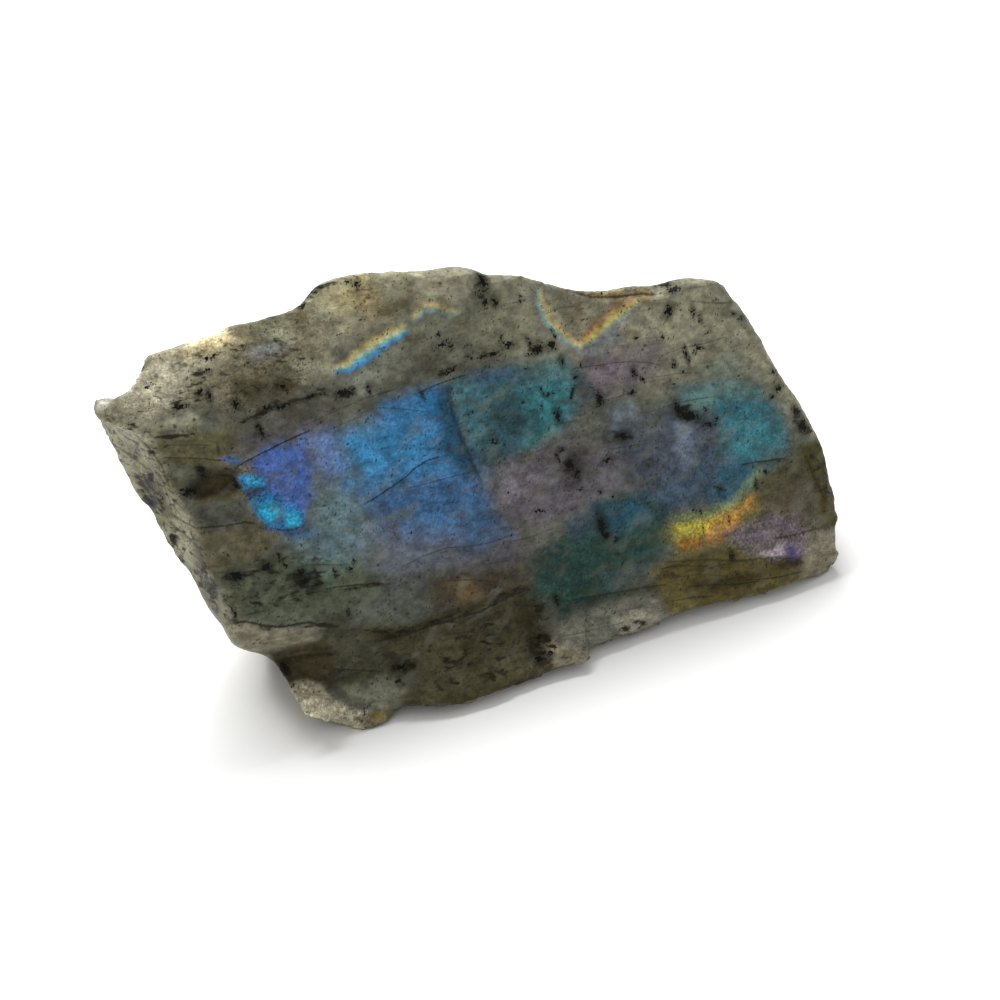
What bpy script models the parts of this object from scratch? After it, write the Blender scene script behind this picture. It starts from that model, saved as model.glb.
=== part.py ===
"""Rough labradorite chunk: one broken piece of rock that stands on its split base.

The broad front face leans back from the base. Points on it are given in millimetres as
(along, up): along the base, and up the slope of the face. A depth is measured square to the
face, into the stone.
"""

import math

import bmesh
import bpy
from mathutils import Matrix, Vector, noise

MM = 0.001

LEAN = math.radians(25.0)
ALONG = Vector((1.0, 0.0, 0.0))
UP_FACE = Vector((0.0, math.sin(LEAN), math.cos(LEAN)))
INTO = Vector((0.0, math.cos(LEAN), -math.sin(LEAN)))

BACK = Vector((0.0, 1.0, 0.0))
RAKE = Vector((0.354, 0.704, -0.616))  # the top breaks away back and down, from a thin edge
LEFT_END = Vector((-0.21, 0.98, 0.0))
RIGHT_END = Vector((0.06, 1.0, 0.0))

FRONT_STOCK = 2.2
BACK_STOCK = 95.0
BEYOND = 30.0

BASE_STOCK = 6.0

SLAB = 500.0

GRAIN_SIZE = 1.4
TRIANGLES = 11200
WEAR = 0.5

# How squarely a surface faces forward, on the smooth face and on the broken rear.
FACE_TURN = (0.9, 0.98)
REAR_TURN = (0.2, -0.4)
# The smooth face keeps its polish down to this depth, and down to this far up the slope.
FACE_DEPTH = (1.6, 0.8)
FACE_FOOT = (14.0, 20.0)
FACE_POLISH = 0.8

LUMPS = 0.45
REAR_LUMPS = 1.6
LUMP_SIZE = 17.0
CHIPS = 0.35
REAR_CHIPS = 0.5
CHIP_SIZE = 6.0
SHEET = 7.0
SHEET_DEPTH = 1.8
SHEET_EDGE = (0.72, 1.0)
SHEET_PATCH = (-0.25, 0.2)
WAVE = 3.0
WAVE_SIZE = 35.0

STONE_COLOUR = (0.27, 0.27, 0.23, 1.0)
STONE_ROUGHNESS = 0.5

TOP_EDGE = [
    (-43.0, 80.0), (-38.4, 80.5), (-34.9, 81.2), (-32.2, 83.9), (-30.6, 86.9), (-17.3, 87.0),
    (-10.4, 87.4), (3.2, 87.7), (5.1, 88.8), (7.8, 91.4), (18.8, 91.0), (26.0, 89.2),
    (34.3, 86.2), (40.5, 84.9), (43.4, 83.4), (50.7, 81.4), (55.7, 79.2), (60.3, 75.9),
    (65.2, 74.7), (76.3, 73.3), (85.2, 71.8), (91.9, 69.6),
]
RIGHT_EDGE = [
    (94.3, 68.0), (97.1, 62.4), (101.2, 53.1), (103.1, 45.4), (106.5, 39.2), (111.1, 26.6),
    (112.0, 12.7), (110.2, 11.5), (109.6, 7.3), (109.2, 3.4), (107.4, 0.7),
]
BOTTOM_EDGE = [
    (92.3, 1.6), (75.9, 3.2), (69.0, 3.4), (64.0, 2.0), (54.7, 2.0), (50.0, 2.2), (49.8, -2.4),
    (45.3, -3.0), (39.8, -3.0), (29.9, -3.6), (24.3, -3.2), (15.6, -0.4), (6.2, 3.0),
    (4.2, 0.4), (0.0, -0.6),
]
LEFT_EDGE = [
    (-2.9, 2.4), (-12.8, 8.1), (-15.1, 13.0), (-16.4, 19.6), (-17.8, 21.8), (-22.1, 24.3),
    (-24.6, 26.5), (-26.0, 31.0), (-27.8, 35.1), (-31.0, 45.5), (-33.1, 50.4), (-35.9, 59.9),
    (-40.6, 68.7), (-42.7, 76.9),
]
LEFT_RIDGE = [
    (-39.1, 77.4), (-32.3, 71.0), (-29.3, 65.3), (-28.3, 59.4), (-26.5, 52.7), (-25.3, 46.2),
    (-24.2, 38.6), (-22.4, 30.8), (-21.9, 25.8),
]


def on_face(along, up, depth=0.0):
    return (ALONG * along + UP_FACE * up + INTO * depth) * MM


def remove_all():
    for thing in list(bpy.data.objects):
        bpy.data.objects.remove(thing, do_unlink=True)


def link(name, mesh):
    piece = bpy.data.objects.new(name, mesh)
    bpy.context.scene.collection.objects.link(piece)
    return piece


def prism(name, near, far):
    """A closed body between two loops of as many corners each."""
    bm = bmesh.new()
    loops = [[bm.verts.new(corner) for corner in loop] for loop in (near, far)]
    for loop in loops:
        bm.faces.new(loop)
    for i in range(len(near)):
        j = (i + 1) % len(near)
        bm.faces.new((loops[0][i], loops[0][j], loops[1][j], loops[1][i]))
    bmesh.ops.triangulate(bm, faces=bm.faces)
    bmesh.ops.recalc_face_normals(bm, faces=bm.faces)
    mesh = bpy.data.meshes.new(name)
    bm.to_mesh(mesh)
    bm.free()
    return link(name, mesh)


def swept(name, corners, direction, before, after):
    """The corners on the face, swept both ways along a direction."""
    start = direction * (-before * MM)
    end = direction * (after * MM)
    points = [on_face(along, up) for along, up in corners]
    return prism(name, [p + start for p in points], [p + end for p in points])


def sunk(name, corners):
    """From in front of the face down to the depth given at each corner."""
    near = [on_face(along, up, -BEYOND) for along, up, depth in corners]
    far = [on_face(along, up, depth) for along, up, depth in corners]
    return prism(name, near, far)


def block(name, low, high):
    """An upright box between two corners, in millimetres from the toe."""
    corners = [(low[0], low[1]), (high[0], low[1]), (high[0], high[1]), (low[0], high[1])]
    near = [Vector((x, y, low[2])) * MM for x, y in corners]
    far = [Vector((x, y, high[2])) * MM for x, y in corners]
    return prism(name, near, far)


def half_space(name, point, outward):
    """A slab with one side through the point, beyond which the stone is broken away."""
    outward = Vector(outward).normalized()
    bm = bmesh.new()
    bmesh.ops.create_cube(bm, size=1.0)
    turn = outward.to_track_quat("Z", "Y").to_matrix().to_4x4()
    place = Matrix.Translation((Vector(point) + outward * SLAB / 2) * MM)
    bm.transform(place @ turn @ Matrix.Scale(SLAB * MM, 4))
    mesh = bpy.data.meshes.new(name)
    bm.to_mesh(mesh)
    bm.free()
    return link(name, mesh)


def apply_modifiers(piece):
    bpy.context.view_layer.update()
    evaluated = piece.evaluated_get(bpy.context.evaluated_depsgraph_get())
    mesh = bpy.data.meshes.new_from_object(evaluated)
    piece.modifiers.clear()
    piece.data = mesh


def break_away(stone, cutter):
    cut = stone.modifiers.new(cutter.name, "BOOLEAN")
    cut.operation = "DIFFERENCE"
    cut.solver = "EXACT"
    cut.object = cutter
    apply_modifiers(stone)
    bpy.data.objects.remove(cutter, do_unlink=True)


def raw_block():
    """The outline raked back from just in front of the face, well past the rear and the base."""
    outline = TOP_EDGE + RIGHT_EDGE + BOTTOM_EDGE + LEFT_EDGE
    return swept("labradorite_chunk", outline, RAKE, FRONT_STOCK, BACK_STOCK)


def break_ends(stone):
    """The left end, a long cleavage facet beside the face, and the right end."""
    beyond_left = [(-32.0, 17.0), (-70.0, 30.0), (-70.0, 88.0)]
    break_away(stone, swept("left_end", LEFT_RIDGE + beyond_left, LEFT_END, BEYOND, BACK_STOCK))
    beyond_right = [(104.0, -60.0), (190.0, -60.0), (190.0, 110.0), (90.0, 110.0)]
    break_away(stone, swept("right_end", RIGHT_EDGE + beyond_right, RIGHT_END, BEYOND, BACK_STOCK))


def cleave_rear(stone):
    """Rough breaks behind: the thin top, the upright rear and the two rear corners."""
    break_away(stone, half_space("rear", (40.0, 50.0, 0.0), (0.03, 0.99, 0.05)))
    break_away(stone, half_space("rear_top", (30.0, 47.0, 74.0), (-0.05, 0.9, 0.42)))
    break_away(stone, half_space("rear_left", (-42.0, 44.5, 66.0), (-0.71, 0.53, -0.47)))
    break_away(stone, half_space("rear_right", (104.0, 37.0, 20.0), (0.6, 0.78, 0.15)))


def step_rear(stone):
    """Ledges where sheets of the stone came away behind."""
    break_away(stone, block("rear_shelf", (58.0, 40.0, 37.0), (140.0, 90.0, 110.0)))
    break_away(stone, block("rear_foot", (-30.0, 44.5, -20.0), (34.0, 90.0, 15.0)))
    break_away(stone, block("rear_sheet", (12.0, 47.0, 24.0), (48.0, 90.0, 58.0)))


def carve_face(stone):
    """The face itself, then what has broken out of it."""
    break_away(stone, sunk("broad_face", [
        (-60.0, 21.0, 0.0), (-9.8, 21.0, 0.0), (10.5, 16.0, 0.0), (28.2, 15.0, 0.0),
        (45.6, 12.0, 0.0), (48.0, -10.0, 0.0), (130.0, -10.0, 0.0), (130.0, 110.0, 0.0),
        (-60.0, 110.0, 0.0),
    ]))
    break_away(stone, sunk("under_ledge", [
        (-9.8, 25.6, 2.4), (-2.7, 22.6, 2.6), (10.5, 18.8, 2.4), (28.2, 17.2, 2.0),
        (39.6, 18.2, 1.4), (46.5, 11.9, 0.2), (47.0, -12.0, -2.4), (20.0, -12.0, -3.6),
        (-6.0, -12.0, -1.0), (-8.0, 10.0, 1.6),
    ]))
    break_away(stone, sunk("ledge_edge", [
        (-26.0, 32.0, -0.2), (-18.0, 27.5, 0.5), (-9.8, 25.6, 0.6), (-3.5, 22.9, 2.4),
        (-7.0, 20.5, 2.8), (-15.7, 21.0, 3.2), (-25.0, 21.0, 3.8), (-31.0, 26.0, 3.4),
    ]))
    break_away(stone, sunk("set_back", [
        (-2.5, 21.0, 2.8), (-10.6, 21.3, 7.2), (-15.7, 22.4, 7.6), (-26.0, 22.4, 8.0),
        (-26.0, 8.0, 6.0), (-13.0, 10.5, 4.0), (-6.7, 10.2, 2.4),
    ]))
    break_away(stone, sunk("lower_right", [
        (48.6, 13.4, 0.0), (65.7, 11.6, 0.0), (65.2, 20.3, 0.0), (78.0, 14.7, 0.0),
        (98.2, 9.0, 0.0), (125.0, 6.5, 0.0), (125.0, -12.0, 4.6), (49.4, -12.0, 5.0),
    ]))


def break_plateau(stone):
    """The upper left, a rough shelf that falls back to a thin edge, and the tip beside it."""
    break_away(stone, sunk("plateau", [
        (-33.0, 76.2, 0.2), (-25.0, 74.2, 0.3), (-16.5, 69.4, 0.3), (-7.9, 70.0, 0.2),
        (8.9, 70.4, 0.1), (7.4, 73.4, 0.4), (7.8, 100.0, 4.5), (-50.0, 100.0, 6.5),
    ]))
    break_away(stone, sunk("tip", [
        (-39.4, 76.9, 0.0), (-35.5, 74.5, 0.2), (-31.1, 75.3, 1.4), (-30.4, 78.0, 2.2),
        (-36.5, 90.0, 9.0), (-55.0, 88.0, 11.0),
    ]))
    break_away(stone, sunk("upper_bump", [
        (7.4, 73.4, 0.3), (18.7, 75.8, 0.2), (25.7, 78.0, 0.2), (32.6, 79.6, 0.2),
        (40.0, 78.0, 0.3), (45.5, 76.5, 0.0), (53.7, 77.6, 0.4), (58.0, 100.0, 3.5),
        (7.0, 100.0, 4.2),
    ]))


def break_steps(stone):
    """Steps broken out beside the left facet, deepest at a small dark pit."""
    break_away(stone, sunk("step_upper", [
        (-31.8, 70.6, 2.4), (-23.3, 68.5, 2.2), (-18.3, 66.4, 1.8), (-18.4, 60.5, 2.0),
        (-14.9, 59.1, 2.0), (-16.0, 54.3, 2.4), (-25.0, 56.3, 3.0), (-34.0, 58.6, 3.0),
        (-36.0, 66.0, 3.0),
    ]))
    break_away(stone, sunk("step_pit", [
        (-24.5, 62.6, 2.6), (-15.4, 59.8, 3.0), (-16.0, 55.0, 3.6), (-25.0, 56.2, 3.8),
        (-26.5, 58.6, 3.4),
    ]))
    break_away(stone, sunk("step_lower", [
        (-33.0, 59.0, 2.2), (-25.0, 56.2, 2.0), (-14.1, 53.6, 1.6), (-12.8, 47.8, 1.0),
        (-17.1, 49.3, 1.0), (-26.3, 51.0, 1.2), (-31.0, 52.0, 1.6),
    ]))
    break_away(stone, sunk("fleck_facet", [
        (-15.2, 59.6, 1.0), (-9.7, 56.2, 0.1), (-4.6, 47.2, 0.1), (-4.7, 44.8, 0.9),
        (-13.1, 47.0, 1.6), (-14.4, 54.2, 1.8),
    ]))


def break_top_right(stone):
    """A flat-topped dip in the top edge, a shallow scoop under it and the worn right rim."""
    dip = [
        (64.2, 73.3), (66.8, 72.0), (75.4, 70.0), (79.7, 68.8), (86.8, 69.6), (91.5, 69.5),
        (92.0, 100.0), (62.0, 100.0),
    ]
    break_away(stone, swept("dip", dip, BACK, BEYOND, BACK_STOCK))
    break_away(stone, sunk("scoop", [
        (53.8, 75.0, 0.2), (56.7, 67.5, 0.2), (60.4, 63.8, 0.2), (65.3, 65.2, 0.2),
        (73.0, 67.6, 0.2), (74.0, 80.0, 2.2), (54.0, 88.0, 2.6),
    ]))
    break_away(stone, sunk("right_rim", [
        (92.6, 72.0, -0.3), (97.6, 57.5, -0.2), (100.6, 46.0, -0.2), (103.0, 36.2, -0.2),
        (105.2, 25.0, -0.2), (104.8, 13.6, -0.3), (126.0, 13.4, 8.0), (126.0, 81.0, 12.0),
    ]))


def break_base(stone):
    base = half_space("base", (0.0, 0.0, 0.0), (0.0, 0.0, -1.0))
    break_away(stone, base)


def fade(low, high, value):
    """0 below low and 1 above high, with a smooth ramp between."""
    share = min(max((value - low) / (high - low), 0.0), 1.0)
    return share * share * (3.0 - 2.0 * share)


def lump(point, size, where):
    return noise.noise(point / size + Vector((where, 2.0 * where, 3.0 * where)))


def sheet_step(point):
    """The stone splits in level sheets, so its broken sides step in and out from sheet to sheet."""
    level = (point.z + WAVE * lump(point, WAVE_SIZE, 5.0)) / SHEET
    sheet = math.floor(level)
    here = noise.cell(Vector((sheet, 0.5, 0.5)))
    above = noise.cell(Vector((sheet + 1, 0.5, 0.5)))
    return here + (above - here) * fade(*SHEET_EDGE, level - sheet)


def roughen(stone):
    mesh = stone.data
    moved = []
    for corner in mesh.vertices:
        point = corner.co / MM
        facing = -corner.normal.dot(INTO)
        depth = point.dot(INTO)
        up = point.dot(UP_FACE)
        smooth = fade(*FACE_TURN, facing) * fade(*FACE_DEPTH, depth) * fade(*FACE_FOOT, up)
        rough = 1.0 - FACE_POLISH * smooth
        behind = fade(*REAR_TURN, facing)
        broken_side = behind * (1.0 - abs(corner.normal.z))
        patch = fade(*SHEET_PATCH, lump(point, WAVE_SIZE, 8.0))
        away = (LUMPS + REAR_LUMPS * behind) * lump(point, LUMP_SIZE, 1.0) * rough
        away += (CHIPS + REAR_CHIPS * behind) * lump(point, CHIP_SIZE, 2.0) * rough
        away += SHEET_DEPTH * (sheet_step(point) - 0.5) * broken_side * patch
        moved.append(corner.co + corner.normal * away * MM)
    for corner, place in zip(mesh.vertices, moved):
        corner.co = place


def grain(stone):
    """An even skin of small faces over the block, fine enough to carry the broken surface."""
    skin = stone.modifiers.new("grain", "REMESH")
    skin.mode = "VOXEL"
    skin.voxel_size = GRAIN_SIZE * MM
    apply_modifiers(stone)


def wear(stone):
    """Takes the rawness off the broken edges."""
    worn = stone.modifiers.new("wear", "SMOOTH")
    worn.factor = WEAR
    worn.iterations = 1
    apply_modifiers(stone)


def thin_out(stone):
    fewer = stone.modifiers.new("thin_out", "DECIMATE")
    fewer.ratio = TRIANGLES / (2 * len(stone.data.polygons))
    apply_modifiers(stone)


def centre(stone):
    """Stands the stone on the floor, with the middle of its footprint at the origin."""
    corners = [corner.co for corner in stone.data.vertices]
    low = [min(corner[axis] for corner in corners) for axis in range(3)]
    high = [max(corner[axis] for corner in corners) for axis in range(3)]
    middle = Vector(((low[0] + high[0]) / 2, (low[1] + high[1]) / 2, low[2]))
    stone.data.transform(Matrix.Translation(-middle))


def labradorite():
    stone = bpy.data.materials.new("labradorite")
    stone.use_nodes = True
    shader = stone.node_tree.nodes["Principled BSDF"]
    shader.inputs["Base Color"].default_value = STONE_COLOUR
    shader.inputs["Roughness"].default_value = STONE_ROUGHNESS
    shader.inputs["Metallic"].default_value = 0.0
    return stone


def build():
    remove_all()
    stone = raw_block()
    break_away(stone, half_space("below", (0.0, 0.0, -BASE_STOCK), (0.0, 0.0, -1.0)))
    carve_face(stone)
    break_ends(stone)
    cleave_rear(stone)
    step_rear(stone)
    break_plateau(stone)
    break_steps(stone)
    break_top_right(stone)
    grain(stone)
    roughen(stone)
    wear(stone)
    thin_out(stone)
    break_base(stone)
    centre(stone)
    stone.data.materials.clear()
    stone.data.materials.append(labradorite())


build()
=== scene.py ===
"""A rough chunk of labradorite, leaning back on the foot of its broad face.

The finish is one piece, chunk_in_finish, which is laid over the CAD solid. Marks are given in
millimetres along and up the broad face, from the toe, the lowest corner of that face.
"""

import math

import bmesh
import bpy
import numpy as np
from mathutils import Matrix, Vector, noise
from mathutils.bvhtree import BVHTree


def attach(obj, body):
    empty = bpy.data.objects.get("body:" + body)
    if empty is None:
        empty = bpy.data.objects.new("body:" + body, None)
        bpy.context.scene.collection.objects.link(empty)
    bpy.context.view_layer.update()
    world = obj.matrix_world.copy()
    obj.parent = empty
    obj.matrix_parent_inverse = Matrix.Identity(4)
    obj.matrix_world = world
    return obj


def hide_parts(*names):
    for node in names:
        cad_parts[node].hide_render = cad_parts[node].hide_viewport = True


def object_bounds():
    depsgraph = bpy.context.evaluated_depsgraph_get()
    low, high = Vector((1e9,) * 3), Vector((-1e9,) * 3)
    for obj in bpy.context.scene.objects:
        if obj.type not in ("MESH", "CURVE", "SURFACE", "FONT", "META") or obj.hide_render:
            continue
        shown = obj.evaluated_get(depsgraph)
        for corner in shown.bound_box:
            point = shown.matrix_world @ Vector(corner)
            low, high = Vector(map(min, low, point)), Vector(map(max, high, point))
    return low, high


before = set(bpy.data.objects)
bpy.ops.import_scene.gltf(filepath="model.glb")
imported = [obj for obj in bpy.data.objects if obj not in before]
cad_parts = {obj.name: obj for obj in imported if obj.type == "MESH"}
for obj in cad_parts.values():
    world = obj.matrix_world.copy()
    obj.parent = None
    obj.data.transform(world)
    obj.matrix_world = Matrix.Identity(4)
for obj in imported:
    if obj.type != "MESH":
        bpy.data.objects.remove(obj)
cad_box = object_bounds()

MM = 0.001
STONE = "labradorite_chunk"

# The broad face leans back from upright. Its toe is this far in from the left tip and the foremost foot.
LEAN = math.radians(25)
TOE_FROM_TIP = 39.350
TOE_FROM_FOOT = 1.636
ALONG = Vector((1, 0, 0))
UP_FACE = Vector((0, math.sin(LEAN), math.cos(LEAN)))
OUT = Vector((0, -math.cos(LEAN), math.sin(LEAN)))
TOE = Vector((cad_box[0].x + TOE_FROM_TIP * MM, cad_box[0].y + TOE_FROM_FOOT * MM, 0))

# The camera, in mm from the toe: a long lens that looks down on the face from its left.
CAMERA_FROM_TOE = Vector((-248.1, -550.93, 530.53))
CAMERA_HEADING = math.radians(26.7)
CAMERA_DIP = math.radians(38)
LENS = 145

# The light: the white room's strength, and one softbox in metres and watts.
ROOM_LIGHT = 0.62
SOFTBOX_PLACE = Vector((-0.12, 0.88, 1.38))
SOFTBOX_TARGET = Vector((0, 0, 0.03))
SOFTBOX_SIZE = (1.5, 0.7)
SOFTBOX_WATTS = 42

# Half the width of the floor, in metres.
HALF_FLOOR = 4

# How finely the stone is meshed, in mm, and how far a face turns forward to be meshed twice as finely.
MESH = 0.95
FRONT_TURN = 0.15

# Without a seed of its own, noise_vector starts from the clock and differs in each run.
noise.seed_set(1)

# The foot of the face hangs over the floor from one of these to the other along it: how far it
# stands off the floor and how far it comes forward, in mm.
FOOT = (4, 106)
FOOT_GAP = 2.1
FOOT_FORWARD = 1.5

# How much softer the marks' edges are than each is given, and how far they wander, in mm.
SOFTER = 1.5
WANDER = 0.9

# How far back from the broad face its marks reach, in mm, and how much further at the left end.
FRONT_DEPTH = 15
LEFT_END_DEPTH = 34

# The lumps of the relief, in mm across, and its sheets: how far apart and how high, in mm.
FINE_LUMPS = 2.2
COARSE_LUMPS = 7
FOOT_SHEETS = (3.1, 0.3)
REAR_SHEETS = (5.2, 0.6)
SHEET_TILT = math.radians(10)

# How far a crack's groove reaches to each side, and how far the left tip is pushed out, in mm.
GROOVE = 0.4
TIP_OUT = 1.5

# How squarely a place faces the camera where the front's relief and its colours begin and are full.
SHAPED = (0.25, 0.6)
PAINTED = (0.05, 0.35)
MARKED = (0.2, 0.5)

# How much larger than its core a dark grain shows, and how many times as wide its smudge is.
GROWN = 1.25
HALO = 2.6


def to_linear(code):
    """An sRGB hex colour as linear red, green and blue."""
    shares = [int(code[i : i + 2], 16) / 255 for i in (1, 3, 5)]
    return np.array([s / 12.92 if s <= 0.04045 else ((s + 0.055) / 1.055) ** 2.4 for s in shares])


def ramp(value, low, high):
    """0 up to low, 1 from high, and an easy curve between them."""
    share = np.clip((value - low) / (high - low), 0, 1)
    return share * share * (3 - 2 * share)


# --- Marks on the broad face, in mm -------------------------------------------------------------

# The broken sides and rear: their colour, and layers in it with how far each covers, its size in mm
# and its seed.
FELDSPAR = "#66624f"
LAYERS = [("#3f3c2b", 0.6, 20, 4), ("#8b8570", 0.55, 14, 5), ("#5c4e33", 0.35, 8, 6)]

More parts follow.
